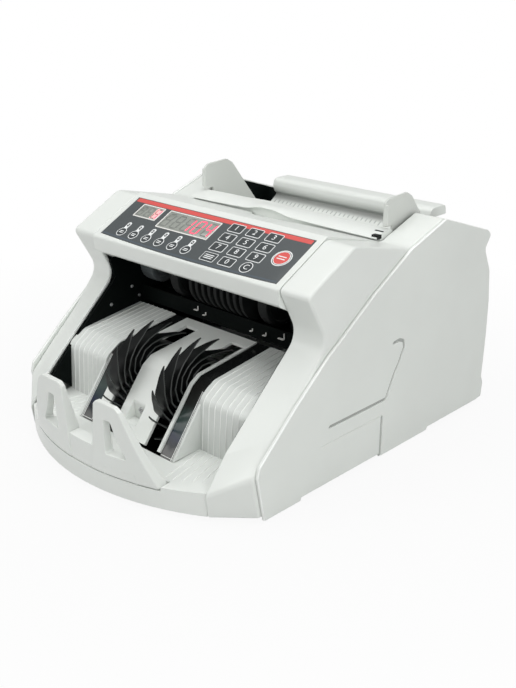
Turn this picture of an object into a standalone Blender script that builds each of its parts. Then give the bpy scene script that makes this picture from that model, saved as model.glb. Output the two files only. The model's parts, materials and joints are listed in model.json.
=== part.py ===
"""Banknote counter: a desktop note counter with a top hopper and a front stacker.

X runs across the machine, Y from the front to the back, Z up. The origin is under the middle, on the desk.
"""

import math

import bmesh
import bpy
from mathutils import Vector

MM = 0.001

# Overall size
WIDTH = 245 * MM
DEPTH = 308 * MM
BODY_HEIGHT = 163 * MM
GAP = 0.3 * MM
CUT_OVERRUN = 5 * MM

# Walls and plates
WALL = 2.5 * MM
PANEL_PROUD = 2.5 * MM
FRAME_THICKNESS = 2 * MM
SIDE_DEPTH = 27.4 * MM

# Feet and base
FOOT_RADIUS = 9 * MM
FOOT_HEIGHT = 2.7 * MM
BOW_RADIUS = 183.5 * MM
BOW_SETBACK = 4.5 * MM
BOW_STEPS = 20
FLOOR_PLATE = 2 * MM

# Side panel grooves
GROOVE_WIDTH = 1.8 * MM
GROOVE_DEPTH = 0.8 * MM
CORNER_ROUND = 4 * MM
ELBOW_ROUND = 14 * MM
ROUND_STEPS = 4

# Stacking impellers
IMPELLER_RADIUS = 43 * MM
IMPELLER_WIDTH = 11 * MM
IMPELLER_CLEARANCE = 1.2 * MM
BLADES = 15
BLADE_THICKNESS = 1 * MM
BLADE_SWEEP = math.radians(111)
BLADE_TAPER = 0.42
HUB_RADIUS = 12 * MM
SHAFT_RADIUS = 4 * MM
RUNNING_CLEARANCE = 0.05 * MM
SHAFT_SEGMENTS = 32

# Transport roller, its discs and its outer wheels
TRANSPORT_RADIUS = 20 * MM
TRANSPORT_HALF = 28 * MM
TRANSPORT_RINGS = 9
RING_DEPTH = 3 * MM
DISC_RADIUS = 19 * MM
DISC_WIDTH = 9 * MM
DISC_PLACE = 46 * MM
GRIP_RADIUS = 14.5 * MM
GRIP_WIDTH = 14 * MM
GRIP_SIDE_GAP = 1.5 * MM
GUIDE_WRAP = 2 * MM
GUIDE_CLEARANCE = 1.2 * MM

# Feed rollers and retard block
FEED_RADIUS = 15 * MM
FEED_WIDTH = 20 * MM
FEED_PLACE = 34 * MM
RETARD_HALF = 14 * MM

# Drive
MOTOR_RADIUS = 26 * MM
MOTOR_LENGTH = 64 * MM
MOTOR_PULLEY_RADIUS = 7 * MM
TRANSPORT_PULLEY_RADIUS = 14 * MM
TRANSPORT_STEP_RADIUS = 6 * MM
IMPELLER_PULLEY_RADIUS = 10 * MM
FEED_PULLEY_RADIUS = 14 * MM
BELT_WIDTH = 5 * MM
BELT_THICKNESS = 1.2 * MM
BELT_PITCH = 6.6 * MM
PULLEY_SEGMENTS = 20

# Chute
CHUTE_SKIN = 2 * MM
CHUTE_RIBS = 7
RIB_WIDTH = 0.9 * MM
RIB_HEIGHT = 0.5 * MM
BLOCK_INNER = 50 * MM
SLOT_INNER = 37 * MM
WHEEL_SLOT_LEFT = -27.3 * MM
WHEEL_SLOT_RIGHT = 21.5 * MM
WHEEL_SLOT_WIDTH = 13 * MM
WHEEL_LEFT_PLACE = -21 * MM
WHEEL_RIGHT_PLACE = 28 * MM
WINDOW_DEPTH = 7 * MM
SCREW_POCKET = 13 * MM

# Stacker plate
PLATE_THICK_LOW = 8.5 * MM
PLATE_THICK_HIGH = 3.7 * MM
WEB_THICKNESS = 2.5 * MM
WEB_REACH = 2.5 * MM

# Console
CONSOLE_SKIN = 2.5 * MM
OVERLAY_MARGIN = 5.3 * MM
OVERLAY_THICKNESS = 0.8 * MM
OVERLAY_BOW = 2.4 * MM
BOARD_THICKNESS = 1.6 * MM
DISPLAY_DEPTH = 6.5 * MM
DISPLAY_MARGIN = 12 * MM
DISPLAY_SPACE = 6 * MM
BATCH_WIDTH = 24.5 * MM
COUNT_WIDTH = 54 * MM
SCOOP_HALF = 39 * MM
SCOOP_PLACE = 11 * MM
SCOOP_REACH = 9 * MM
SCOOP_DROP = 5 * MM

# Hopper
HOPPER_SKIN = 2.6 * MM
PLATE_MARGIN = 11 * MM
RAIL_RADIUS = 3 * MM
SLEEVE_RADIUS = 6 * MM
SLEEVE_LENGTH = 12 * MM
GUIDE_SIDE_GAP = 0.5 * MM
GUIDE_THICKNESS = 2 * MM
GUIDE_TRAVEL = 33 * MM
GUIDE_FLANGE = 3 * MM
STEM_WIDTH = 8 * MM

# Rear fittings
INLET_WIDTH = 27.5 * MM
INLET_HEIGHT = 20 * MM
INLET_DEPTH = 18 * MM
INLET_SIDE_GAP = 16.75 * MM
CONTACT_SPACE = 7 * MM
CONTACT_WIDTH = 2 * MM
CONTACT_HEIGHT = 4 * MM
ROCKER_WIDTH = 13 * MM
ROCKER_HEIGHT = 19 * MM
ROCKER_SPACE = 32 * MM
ROCKER_RADIUS = 13 * MM
ROCKER_TILT = math.radians(8)
BEZEL_RIM = 2.5 * MM
BEZEL_PROUD = 1.2 * MM
FUSE_RADIUS = 7 * MM
FUSE_SPACE = 30 * MM
JACK_RADIUS = 5 * MM
JACK_SPACE = 26 * MM
KNOB_RADIUS = 10 * MM
KNOB_LENGTH = 9 * MM
KNOB_FLUTES = 12
CUP_CLEARANCE = 4 * MM

# Where things stand, as shares of the depth and of the body height
INNER_CHEEK_SHARES = ((-0.4, 0.015), (-0.407, 0.113), (-0.351, 0.252), (-0.244, 0.445), (-0.135, 0.638))
OUTER_CHEEK_SHARES = ((-0.328, 0.015), (-0.347, 0.202), (-0.278, 0.331), (-0.205, 0.46), (-0.128, 0.636))
BEAK_SHARES = ((-0.191, 0.844), (-0.046, 0.99))
SIDE_TOP_SHARES = ((0.144, 0.91), (0.272, 0.993))
REAR_SHARES = (
    (0.458, 0.879),
    (0.475, 0.853),
    (0.452, 0.791),
    (0.482, 0.68),
    (0.492, 0.521),
    (0.4935, 0.33),
    (0.489, 0.137),
    (0.4985, 0.098),
    (0.495, 0.026),
    (0.473, 0.015),
)
PANEL_FRONT_SHARES = ((-0.324, 0.012), (-0.3435, 0.202), (-0.3375, 0.247), (-0.235, 0.424), (-0.133, 0.582))
PANEL_TOP_SHARES = ((-0.094, 0.63), (0.018, 0.773), (0.144, 0.91), (0.272, 0.993))
PANEL_FOOT_SHARES = ((0.473, 0.02), (0.252, 0.02), (0.25, 0.006), (0.06, 0.006), (0.058, 0.02))
PANEL_FRONT_FOOT_SHARES = ((-0.21, 0.02), (-0.212, 0.006), (-0.324, 0.006))
HOOK_SHARES = (
    (0.093, 0.521),
    (0.114, 0.525),
    (0.13, 0.512),
    (0.1335, 0.483),
    (0.116, 0.42),
    (0.098, 0.369),
    (0.0735, 0.276),
    (-0.123, 0.275),
)
LOW_LINE_SHARES = ((-0.149, 0.205), (0.063, 0.205), (0.063, -0.01))
FLOOR_SHARES = ((-0.49, 0.107), (-0.289, 0.138))
CHUTE_SHARES = ((-0.289, 0.141), (-0.282, 0.362), (-0.2385, 0.416), (-0.0585, 0.463))
CENTRE_SHARES = ((-0.3635, 0.141), (-0.2635, 0.385), (-0.2385, 0.416), (-0.0585, 0.463))
WHEEL_SLOT_BACK_SHARE = -0.089
IMPELLER_Y_SHARE = -0.2375
TRANSPORT_SHARES = (-0.012, 0.654)
FEED_SHARES = (0.149, 0.583)
MOTOR_SHARES = (0.24, 0.3)
LIP_SHARES = ((0.1445, 0.911), (0.177, 0.952), (0.187, 0.947), (0.194, 0.92), (0.197, 0.76))
PLATE_FRONT_SHARES = ((0.208, 0.656), (0.386, 0.816), (0.398, 0.846), (0.411, 0.902), (0.419, 0.932))
ROLL_SHARES = ((0.43, 0.95), (0.462, 0.954), (0.473, 0.943), (0.4755, 0.922), (0.464, 0.9))
PLATE_BACK_SHARES = ((0.428, 0.903), (0.417, 0.868), (0.398, 0.804))
COVER_TOP_SHARES = ((0.412, 0.8), (0.43, 0.893), (0.455, 0.88), (0.472, 0.853), (0.449, 0.791))
COVER_BACK_SHARES = (
    (0.479, 0.68),
    (0.489, 0.521),
    (0.4905, 0.33),
    (0.486, 0.137),
    (0.4955, 0.098),
    (0.492, 0.026),
)
RAIL_SHARES = (0.325, 0.68)
GUIDE_TOP_SHARES = ((0.175, 0.967), (0.175, 1.07), (0.26, 1.087), (0.274, 1.064), (0.3425, 0.92))
FRAME_SHARES = (
    (-0.287, 0.098),
    (-0.287, 0.142),
    (-0.386, 0.13),
    (-0.349, 0.243),
    (-0.243, 0.434),
    (-0.139, 0.62),
    (-0.155, 0.72),
    (0.147, 0.72),
    (0.147, 0.89),
    (0.25, 0.89),
    (0.28, 0.955),
    (0.4, 0.91),
    (0.4, 0.78),
    (0.445, 0.77),
    (0.445, 0.098),
)
REAR_FITTING_Z_SHARE = 0.31
KNOB_Z_SHARE = 0.62
DISPLAY_ROW_SHARES = ((0.57, 0.835), (0.475, 0.835))
OVERLAY_SPAN_SHARES = (0.088, 0.943)

# Stacker plate, in real sizes across and up
PRONG_OUTLINE = (
    (66.5 * MM, 16 * MM),
    (45.6 * MM, 62.2 * MM),
    (43.2 * MM, 66.3 * MM),
    (38.8 * MM, 69 * MM),
    (20.4 * MM, 68.6 * MM),
    (17.2 * MM, 65.6 * MM),
    (12.6 * MM, 34 * MM),
)
PRONG_HOLE = ((27 * MM, 56.6 * MM), (33.6 * MM, 56.6 * MM), (44.7 * MM, 33 * MM), (25.6 * MM, 31.8 * MM))

# Worked out from the sizes above
HALF_WIDTH = WIDTH / 2
SHELL_OUT = HALF_WIDTH - PANEL_PROUD - GAP
OPENING_HALF = HALF_WIDTH - SIDE_DEPTH
CONSOLE_HALF = OPENING_HALF - GAP
FRAME_OUT = OPENING_HALF - GAP
FRAME_IN = FRAME_OUT - FRAME_THICKNESS
INSIDE_HALF = FRAME_IN - GAP
OVERLAY_HALF = CONSOLE_HALF - OVERLAY_MARGIN
BATCH_LEFT = DISPLAY_MARGIN - OVERLAY_HALF
COUNT_LEFT = BATCH_LEFT + BATCH_WIDTH + DISPLAY_SPACE
GRIP_PLACE = INSIDE_HALF - GRIP_SIDE_GAP - GRIP_WIDTH / 2
PLATE_HALF = INSIDE_HALF - PLATE_MARGIN
GUIDE_PLACE = INSIDE_HALF - GUIDE_SIDE_GAP - GUIDE_THICKNESS / 2
INLET_PLACE = INLET_SIDE_GAP + INLET_WIDTH / 2 - INSIDE_HALF
ROCKER_PLACE = INLET_PLACE + ROCKER_SPACE
FUSE_PLACE = ROCKER_PLACE + FUSE_SPACE
JACK_PLACE = FUSE_PLACE + JACK_SPACE
BASE_BOTTOM = FOOT_HEIGHT + GAP
BASE_TOP = BASE_BOTTOM + FLOOR_PLATE
SHAFT_END = SHELL_OUT - WALL - GAP
FRONT_END = BOW_SETBACK - DEPTH / 2
REAR_END = DEPTH * max(deep for deep, high in REAR_SHARES)
ORIGIN_PLACE = (FRONT_END + REAR_END) / 2


def y_at(share):
    return DEPTH * share - ORIGIN_PLACE


def z_at(share):
    return BODY_HEIGHT * share


def places(shares):
    """Turns shares of the depth and the body height into real places."""
    return [(y_at(deep), z_at(high)) for deep, high in shares]


def rounded(points, corners, radius):
    """Rounds the numbered corners of a closed outline."""
    result = []
    for number, point in enumerate(points):
        here = Vector(point)
        if number not in corners:
            result.append((here.x, here.y))
            continue
        before = Vector(points[number - 1]) - here
        after = Vector(points[(number + 1) % len(points)]) - here
        half_angle = before.angle(after) / 2
        reach = min(radius / math.tan(half_angle), before.length / 2, after.length / 2)
        start = here + before.normalized() * reach
        end = here + after.normalized() * reach
        for step in range(ROUND_STEPS + 1):
            t = step / ROUND_STEPS
            bend = start * (1 - t) ** 2 + here * 2 * t * (1 - t) + end * t**2
            if not result or (bend - Vector(result[-1])).length > GAP / 2:
                result.append((bend.x, bend.y))
    return result


def circle(centre, radius, segments):
    steps = [math.tau * (step + 0.5) / segments for step in range(segments)]
    return [(centre[0] + radius * math.cos(a), centre[1] + radius * math.sin(a)) for a in steps]


def turned(points, centre, angle):
    """Turns an outline about a centre."""
    result = []
    for point in points:
        arm = Vector(point) - Vector(centre)
        arm = Vector((arm.x * math.cos(angle) - arm.y * math.sin(angle), arm.x * math.sin(angle) + arm.y * math.cos(angle)))
        result.append((centre[0] + arm.x, centre[1] + arm.y))
    return result


def offset_path(path, distance):
    """Moves an open path sideways, to its right-hand side for a positive distance."""
    moved = []
    for number, point in enumerate(path):
        here = Vector(point)
        back = here - Vector(path[number - 1]) if number else None
        ahead = Vector(path[number + 1]) - here if number + 1 < len(path) else None
        normals = [Vector((way.y, -way.x)).normalized() for way in (back, ahead) if way is not None]
        middle = sum(normals, Vector((0, 0))).normalized()
        shift = middle * (distance / middle.dot(normals[0]))
        moved.append((here.x + shift.x, here.y + shift.y))
    return moved


def ribbon(path, distance):
    """A closed outline between a path and the same path moved sideways."""
    return list(path) + offset_path(path, distance)[::-1]


def material(name, colour, roughness, metallic=0.0):
    made = bpy.data.materials.get(name)
    if made is None:
        made = bpy.data.materials.new(name)
        made.use_nodes = True
        shader = made.node_tree.nodes["Principled BSDF"]
        shader.inputs["Base Color"].default_value = (*colour, 1)
        shader.inputs["Roughness"].default_value = roughness
        shader.inputs["Metallic"].default_value = metallic
    return made


def light_plastic():
    return material("light_plastic", (0.78, 0.79, 0.76), 0.42)


def panel_plastic():
    return material("panel_plastic", (0.66, 0.67, 0.65), 0.5)


def black_plastic():
    return material("black_plastic", (0.012, 0.014, 0.014), 0.4)


def smoked_window():
    return material("smoked_window", (0.01, 0.012, 0.018), 0.08)


def black_rubber():
    return material("black_rubber", (0.02, 0.02, 0.02), 0.75)


def pale_rubber():
    return material("pale_rubber", (0.35, 0.36, 0.36), 0.6)


def steel():
    return material("steel", (0.6, 0.6, 0.62), 0.3, 1.0)


def overlay_film():
    return material("overlay_film", (0.09, 0.1, 0.105), 0.35)


def display_glass():
    return material("display_glass", (0.26, 0.27, 0.25), 0.2)


def board_green():
    return material("board_green", (0.02, 0.16, 0.06), 0.5)


def finish(name, mesh_data, look, smooth=False):
    """Makes the named object from a bmesh, with its faces pointing out."""
    bmesh.ops.recalc_face_normals(mesh_data, faces=mesh_data.faces)
    mesh = bpy.data.meshes.new(name)
    mesh_data.to_mesh(mesh)
    mesh_data.free()
    made = bpy.data.objects.new(name, mesh)
    bpy.context.scene.collection.objects.link(made)
    made.data.materials.append(look)
    if smooth:
        shade_round(made)
    return made


def shade_round(made):
    for face in made.data.polygons:
        face.use_smooth = True
    made.data.set_sharp_from_angle(angle=math.radians(35))


def add_prism(mesh_data, points, low, high, axis):
    """Adds a closed prism of a flat outline. Axis x takes (y, z), y takes (x, z) and z takes (x, y)."""
    place = {
        "x": lambda u, v, w: (w, u, v),
        "y": lambda u, v, w: (u, w, v),
        "z": lambda u, v, w: (u, v, w),
    }[axis]
    first = [mesh_data.verts.new(place(u, v, low)) for u, v in points]
    last = [mesh_data.verts.new(place(u, v, high)) for u, v in points]
    mesh_data.faces.new(first[::-1])
    mesh_data.faces.new(last)
    for number, corner in enumerate(first):
        following = (number + 1) % len(first)
        mesh_data.faces.new((corner, first[following], last[following], last[number]))


def prism(name, points, low, high, axis, look, smooth=False):
    mesh_data = bmesh.new()
    add_prism(mesh_data, points, low, high, axis)
    return finish(name, mesh_data, look, smooth)


def block(name, low, high, look):
    outline = ((low[0], low[1]), (high[0], low[1]), (high[0], high[1]), (low[0], high[1]))
    return prism(name, outline, low[2], high[2], "z", look)


def rod(name, centre, radius, low, high, look, segments=SHAFT_SEGMENTS):
    return prism(name, circle(centre, radius, segments), low, high, "x", look, True)


def settle(made):
    """Applies an object's modifiers, so that its mesh holds their result."""
    bpy.context.view_layer.update()
    graph = bpy.context.evaluated_depsgraph_get()
    mesh = bpy.data.meshes.new_from_object(made.evaluated_get(graph))
    made.modifiers.clear()
    made.data = mesh


def combine(made, helper, operation):
    """Cuts, joins or intersects with a helper object, which is then removed."""
    modifier = made.modifiers.new(operation.lower(), "BOOLEAN")
    modifier.object = helper
    modifier.operation = operation
    modifier.solver = "EXACT"
    settle(made)
    bpy.data.objects.remove(helper)
    return made


def cut(made, helper):
    return combine(made, helper, "DIFFERENCE")


def join(made, helper):
    return combine(made, helper, "UNION")


def bow_arc(radius, half):
    """Points of the bowed front in plan, from the left to the right."""
    centre = plate_front() + BOW_RADIUS
    reach = math.asin(half / radius)
    angles = [reach * (2 * step / BOW_STEPS - 1) for step in range(BOW_STEPS + 1)]
    return [(radius * math.sin(a), centre - radius * math.cos(a)) for a in angles]


def on_line(start, end, deep):
    """Height of the line through two places at a given depth."""
    return start[1] + (end[1] - start[1]) * (deep - start[0]) / (end[0] - start[0])


def base_tray():
    """Bowed front band, stacking floor and the pan that the frames stand on."""
    rear = y_at(FRAME_SHARES[-1][0]) + WALL
    floor = places(FLOOR_SHARES)
    frame_foot = z_at(FRAME_SHARES[0][1]) - GAP
    front = floor[0][0] - CUT_OVERRUN * 3
    profile = (
        (front, BASE_BOTTOM),
        (rear, BASE_BOTTOM),
        (rear, frame_foot),
        (floor[1][0], frame_foot),
        floor[1],
        (front, on_line(*floor, front)),
    )
    tray = prism("base_tray", profile, -CONSOLE_HALF, CONSOLE_HALF, "x", light_plastic())
    plan = bow_arc(BOW_RADIUS, CONSOLE_HALF + GAP)
    plan += [(CONSOLE_HALF + CUT_OVERRUN, rear + CUT_OVERRUN), (-CONSOLE_HALF - CUT_OVERRUN, rear + CUT_OVERRUN)]
    combine(tray, prism("plan", plan, -CUT_OVERRUN, BODY_HEIGHT, "z", light_plastic()), "INTERSECT")
    inside = CONSOLE_HALF - WALL
    under_floor = prism(
        "under_floor",
        (
            (front, BASE_TOP),
            (rear - WALL, BASE_TOP),
            (rear - WALL, frame_foot + CUT_OVERRUN),
            (floor[1][0] + GAP, frame_foot + CUT_OVERRUN),
            (floor[1][0] + GAP, floor[1][1] - FLOOR_PLATE),
            (front, on_line(*floor, front) - FLOOR_PLATE),
        ),
        -inside,
        inside,
        "x",
        light_plastic(),
    )
    inner_plan = bow_arc(BOW_RADIUS - WALL, inside)
    inner_plan += [(inside, rear), (-inside, rear)]
    combine(under_floor, prism("inner_plan", inner_plan, 0, BODY_HEIGHT, "z", light_plastic()), "INTERSECT")
    cut(tray, under_floor)
    centre_cut_front = y_at(CENTRE_SHARES[0][0])
    low = (-BLOCK_INNER, centre_cut_front - GAP, floor[0][1] - FLOOR_PLATE * 2)
    high = (BLOCK_INNER, 0, BODY_HEIGHT)
    cut(tray, block("wheel_well", low, high, light_plastic()))
    foot_half, foot = PRONG_OUTLINE[0]
    seat_front = [(x, y - CUT_OVERRUN) for x, y in bow_arc(BOW_RADIUS, foot_half + GAP)]
    seat_back = [(x, y + PLATE_THICK_LOW + GAP) for x, y in bow_arc(BOW_RADIUS, foot_half + GAP)]
    seat = prism("plate_seat", seat_front + seat_back[::-1], foot - GAP, BODY_HEIGHT, "z", light_plastic())
    return cut(tray, seat)


def feet():
    for side, left in (("left", -1), ("right", 1)):
        for end, share in (("front", -0.25), ("rear", 0.36)):
            centre = (left * (CONSOLE_HALF - FOOT_RADIUS * 2), y_at(share))
            outline = circle(centre, FOOT_RADIUS, PULLEY_SEGMENTS)
            prism(f"{side}_{end}_foot", outline, 0, FOOT_HEIGHT, "z", black_rubber(), True)


def side_shell(name, side):
    """Moulded side: cheek, beak, hopper wall and rear lip, open on its inner side."""
    shared = places(BEAK_SHARES + SIDE_TOP_SHARES + REAR_SHARES)
    elbow = len(INNER_CHEEK_SHARES) - 1
    inner = rounded(places(INNER_CHEEK_SHARES) + shared, (elbow,), ELBOW_ROUND)
    outer = rounded(places(OUTER_CHEEK_SHARES) + shared, (elbow,), ELBOW_ROUND)
    mesh_data = bmesh.new()
    near = [mesh_data.verts.new((side * OPENING_HALF, y, z)) for y, z in inner]
    far = [mesh_data.verts.new((side * SHELL_OUT, y, z)) for y, z in outer]
    mesh_data.faces.new(far)
    for number, corner in enumerate(near):
        following = (number + 1) % len(near)
        mesh_data.faces.new((corner, near[following], far[following], far[number]))
    if side > 0:
        bmesh.ops.reverse_faces(mesh_data, faces=mesh_data.faces)
    mesh = bpy.data.meshes.new(name)
    mesh_data.to_mesh(mesh)
    mesh_data.free()
    shell = bpy.data.objects.new(name, mesh)
    bpy.context.scene.collection.objects.link(shell)
    shell.data.materials.append(light_plastic())
    thick = shell.modifiers.new("wall", "SOLIDIFY")
    thick.thickness = WALL
    thick.offset = -1
    thick.use_even_offset = True
    settle(shell)
    for vert in shell.data.vertices:
        vert.co.x = side * max(side * vert.co.x, OPENING_HALF)
    return shell


def groove(path, low, high):
    """A cutter along a path in the side view."""
    centred = offset_path(path, -GROOVE_WIDTH / 2)
    return prism("groove", ribbon(centred, GROOVE_WIDTH), min(low, high), max(low, high), "x", panel_plastic())


def side_panel(name, side):
    """Raised outer panel with its hooked groove, low line and moulded feet."""
    rear = places(REAR_SHARES[:-1])
    outline = (
        places(PANEL_FRONT_SHARES[1:])
        + places(PANEL_TOP_SHARES)
        + rear
        + places(PANEL_FOOT_SHARES)
        + places(PANEL_FRONT_FOOT_SHARES)
    )
    inner = side * (SHELL_OUT + GAP)
    outer = side * HALF_WIDTH
    panel = prism(name, outline, min(inner, outer), max(inner, outer), "x", panel_plastic())
    deep = side * (HALF_WIDTH - GROOVE_DEPTH)
    over = side * (HALF_WIDTH + CUT_OVERRUN)
    for shares in (HOOK_SHARES, LOW_LINE_SHARES):
        cut(panel, groove(places(shares), deep, over))
    return panel


def rear_cover():
    """Rear wall between the shells, with its lip, inlet, switch, fuse, jack and knob holes."""
    path = places(COVER_TOP_SHARES + COVER_BACK_SHARES)
    cover = prism("rear_cover", ribbon(path, WALL), -CONSOLE_HALF, CONSOLE_HALF, "x", light_plastic())
    low = y_at(COVER_BACK_SHARES[0][0]) - CUT_OVERRUN * 2
    high = DEPTH / 2 + CUT_OVERRUN
    middle = z_at(REAR_FITTING_Z_SHARE)
    for place, width, height in (
        (INLET_PLACE, INLET_WIDTH, INLET_HEIGHT),
        (ROCKER_PLACE, ROCKER_WIDTH, ROCKER_HEIGHT),
    ):
        corner = (place - width / 2 - GAP, low, middle - height / 2 - GAP)
        opposite = (place + width / 2 + GAP, high, middle + height / 2 + GAP)
        cut(cover, block("fitting_hole", corner, opposite, light_plastic()))
    for place, radius, height in (
        (FUSE_PLACE, FUSE_RADIUS, middle),
        (JACK_PLACE, JACK_RADIUS, middle),
        (0, KNOB_RADIUS + CUP_CLEARANCE, z_at(KNOB_Z_SHARE)),
    ):
        outline = circle((place, height), radius + GAP, PULLEY_SEGMENTS)
        cut(cover, prism("round_hole", outline, low, high, "y", light_plastic()))
    return cover


def console_frame():
    """Beak corner, unit vectors along and out of the keypad slope, and the slope's length."""
    corner, crest = [Vector(place) for place in places(BEAK_SHARES)]
    along = (crest - corner).normalized()
    out = Vector((-along.y, along.x))
    return corner, along, out, (crest - corner).length


def on_slope(up, above):
    corner, along, out, _ = console_frame()
    spot = corner + along * up + out * above
    return spot.x, spot.y


def slope_prism(name, outline, low, high, look):
    """A prism of an outline across and up the keypad slope, between two heights over it."""
    mesh_data = bmesh.new()
    first = [mesh_data.verts.new((across, *on_slope(up, low))) for across, up in outline]
    last = [mesh_data.verts.new((across, *on_slope(up, high))) for across, up in outline]
    mesh_data.faces.new(first[::-1])
    mesh_data.faces.new(last)
    for number, corner in enumerate(first):
        following = (number + 1) % len(first)
        mesh_data.faces.new((corner, first[following], last[following], last[number]))
    return finish(name, mesh_data, look)


def overlay_outline(margin):
    """The keypad film in plan: three straight sides and a bowed lower one."""
    length = console_frame()[3]
    low = OVERLAY_SPAN_SHARES[0] * length - margin
    high = OVERLAY_SPAN_SHARES[1] * length + margin
    half = OVERLAY_HALF + margin
    steps = [2 * step / BOW_STEPS - 1 for step in range(BOW_STEPS + 1)]
    lower = [(half * t, low - OVERLAY_BOW * (1 - t * t)) for t in steps]
    return lower + [(half, high), (-half, high)]


def rectangle(span, rows, margin):
    left, right = span[0] - margin, span[1] + margin
    low, high = rows[0] - margin, rows[1] + margin
    return ((left, low), (right, low), (right, high), (left, high))


def display_spans():
    length = console_frame()[3]
    rows = [[share * length for share in pair] for pair in DISPLAY_ROW_SHARES]
    batch = (BATCH_LEFT, BATCH_LEFT + BATCH_WIDTH)
    count = (COUNT_LEFT, COUNT_LEFT + COUNT_WIDTH)
    return (("batch_display", batch, rows[0]), ("count_display", count, rows[1]))


def console():
    """Console housing, open below, with the recess for its film and the windows of its displays."""
    corner, crest = places(BEAK_SHARES)
    back = places(LIP_SHARES)[0]
    rear = (back[0] - GAP, back[1])
    nose = (corner[0] + WALL / 2, corner[1] - 4.6 * WALL)
    under = (y_at(FRAME_SHARES[6][0]) + 2 * WALL, z_at(FRAME_SHARES[6][1]) + GAP)
    rear_low = (rear[0], z_at(FRAME_SHARES[7][1]) + GAP)
    ridge = (crest[0] + WALL, crest[1] + WALL / 2)
    outline = (nose, corner, crest, ridge, rear, rear_low, under)
    outline = rounded(outline, (0, 1), WALL)
    housing = prism("console_housing", outline, -CONSOLE_HALF, CONSOLE_HALF, "x", light_plastic())
    inside = (
        (nose[0] + 2 * WALL, under[1] - CUT_OVERRUN),
        (nose[0] + 2 * WALL, nose[1] + 2 * WALL),
        on_slope(2.5 * WALL, -CONSOLE_SKIN - OVERLAY_THICKNESS),
        (crest[0] + WALL, crest[1] - WALL * 1.6),
        (rear[0] - SCOOP_REACH * 2, rear[1] + WALL / 2),
        (rear[0] - SCOOP_REACH * 2, rear_low[1] + 2 * WALL),
        (rear[0] - WALL, rear_low[1] + 2 * WALL),
        (rear[0] - WALL, rear_low[1] - CUT_OVERRUN),
    )
    half = CONSOLE_HALF - WALL
    cut(housing, prism("console_inside", inside, -half, half, "x", light_plastic()))
    cut(housing, slope_prism("recess", overlay_outline(GAP), -OVERLAY_THICKNESS - GAP, CUT_OVERRUN, light_plastic()))
    for _, span, rows in display_spans():
        window = slope_prism("window", rectangle(span, rows, GAP), -DISPLAY_DEPTH * 2, CUT_OVERRUN, light_plastic())
        cut(housing, window)
    return housing


def finger_scoop():
    """A long dish for a fingertip, centred on the line between console and lip."""
    mesh_data = bmesh.new()
    bmesh.ops.create_uvsphere(mesh_data, u_segments=24, v_segments=12, radius=1)
    edge = places(LIP_SHARES)[0]
    for vert in mesh_data.verts:
        x, y, z = vert.co
        vert.co = (SCOOP_PLACE + SCOOP_HALF * x, edge[0] + SCOOP_REACH * y, edge[1] + SCOOP_DROP * z)
    return finish("finger_scoop", mesh_data, light_plastic())


def overlay():
    """Keypad film in its recess, with an opening over each display."""
    film = slope_prism("keypad_overlay", overlay_outline(0), -OVERLAY_THICKNESS, 0, overlay_film())
    for _, span, rows in display_spans():
        cut(film, slope_prism("window", rectangle(span, rows, GAP), -CUT_OVERRUN, CUT_OVERRUN, overlay_film()))
    return film


def displays():
    for name, span, rows in display_spans():
        slope_prism(name, rectangle(span, rows, 0), -DISPLAY_DEPTH, 0, display_glass())


def control_board():
    """Circuit board right under the displays."""
    length = console_frame()[3]
    top = -DISPLAY_DEPTH - GAP
    rows = (0.4 * length, 0.9 * length)
    outline = rectangle((-OVERLAY_HALF + WALL, OVERLAY_HALF - WALL), rows, 0)
    slope_prism("control_board", outline, top - BOARD_THICKNESS, top, board_green())


def shaft_places():
    """Axis of each shaft in the side view."""
    impeller = (y_at(IMPELLER_Y_SHARE), BASE_TOP + IMPELLER_CLEARANCE + IMPELLER_RADIUS)
    transport = (y_at(TRANSPORT_SHARES[0]), z_at(TRANSPORT_SHARES[1]))
    feed = (y_at(FEED_SHARES[0]), z_at(FEED_SHARES[1]))
    motor = (y_at(MOTOR_SHARES[0]), z_at(MOTOR_SHARES[1]))
    rail = (y_at(RAIL_SHARES[0]), z_at(RAIL_SHARES[1]))
    return {"impeller": impeller, "transport": transport, "feed": feed, "motor": motor, "rail": rail}


def side_frame(name, side):
    """Black inner side plate, bored for the shafts."""
    low, high = sorted((side * FRAME_IN, side * FRAME_OUT))
    plate = prism(name, places(FRAME_SHARES), low, high, "x", black_plastic())
    axes = shaft_places()
    bored = ["impeller", "transport", "feed"]
    if side < 0:
        bored.append("motor")
    for key in bored:
        outline = circle(axes[key], SHAFT_RADIUS + RUNNING_CLEARANCE, SHAFT_SEGMENTS)
        cut(plate, prism("shaft_hole", outline, low - CUT_OVERRUN, high + CUT_OVERRUN, "x", black_plastic()))
    return plate


def rib_spots(low, high, count):
    step = (high - low) / (count + 1)
    return [low + step * (number + 1) for number in range(count)]


def chute_block(name, side):
    """Ribbed side block of the chute with its slanted inner wall."""
    path = places(CHUTE_SHARES)
    path = rounded(path, (1, 2), CORNER_ROUND * 2)
    inner = side * BLOCK_INNER
    outer = side * INSIDE_HALF
    low, high = sorted((inner, outer))
    made = prism(name, ribbon(path, CHUTE_SKIN), low, high, "x", light_plastic())
    slant = places(CENTRE_SHARES)
    gusset = (slant[0], slant[1], path[len(path) // 2], (path[0][0] + CHUTE_SKIN / 2, path[0][1]))
    edge = sorted((inner, inner + side * CHUTE_SKIN))
    join(made, prism("gusset", gusset, edge[0], edge[1], "x", light_plastic()))
    raised = ribbon(offset_path(path, CHUTE_SKIN / 2), -CHUTE_SKIN / 2 - RIB_HEIGHT)
    mesh_data = bmesh.new()
    for spot in rib_spots(low + CHUTE_SKIN * (side > 0), high - CHUTE_SKIN * (side < 0), CHUTE_RIBS):
        add_prism(mesh_data, raised, spot - RIB_WIDTH / 2, spot + RIB_WIDTH / 2, "x")
    return join(made, finish("ribs", mesh_data, light_plastic()))


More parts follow.
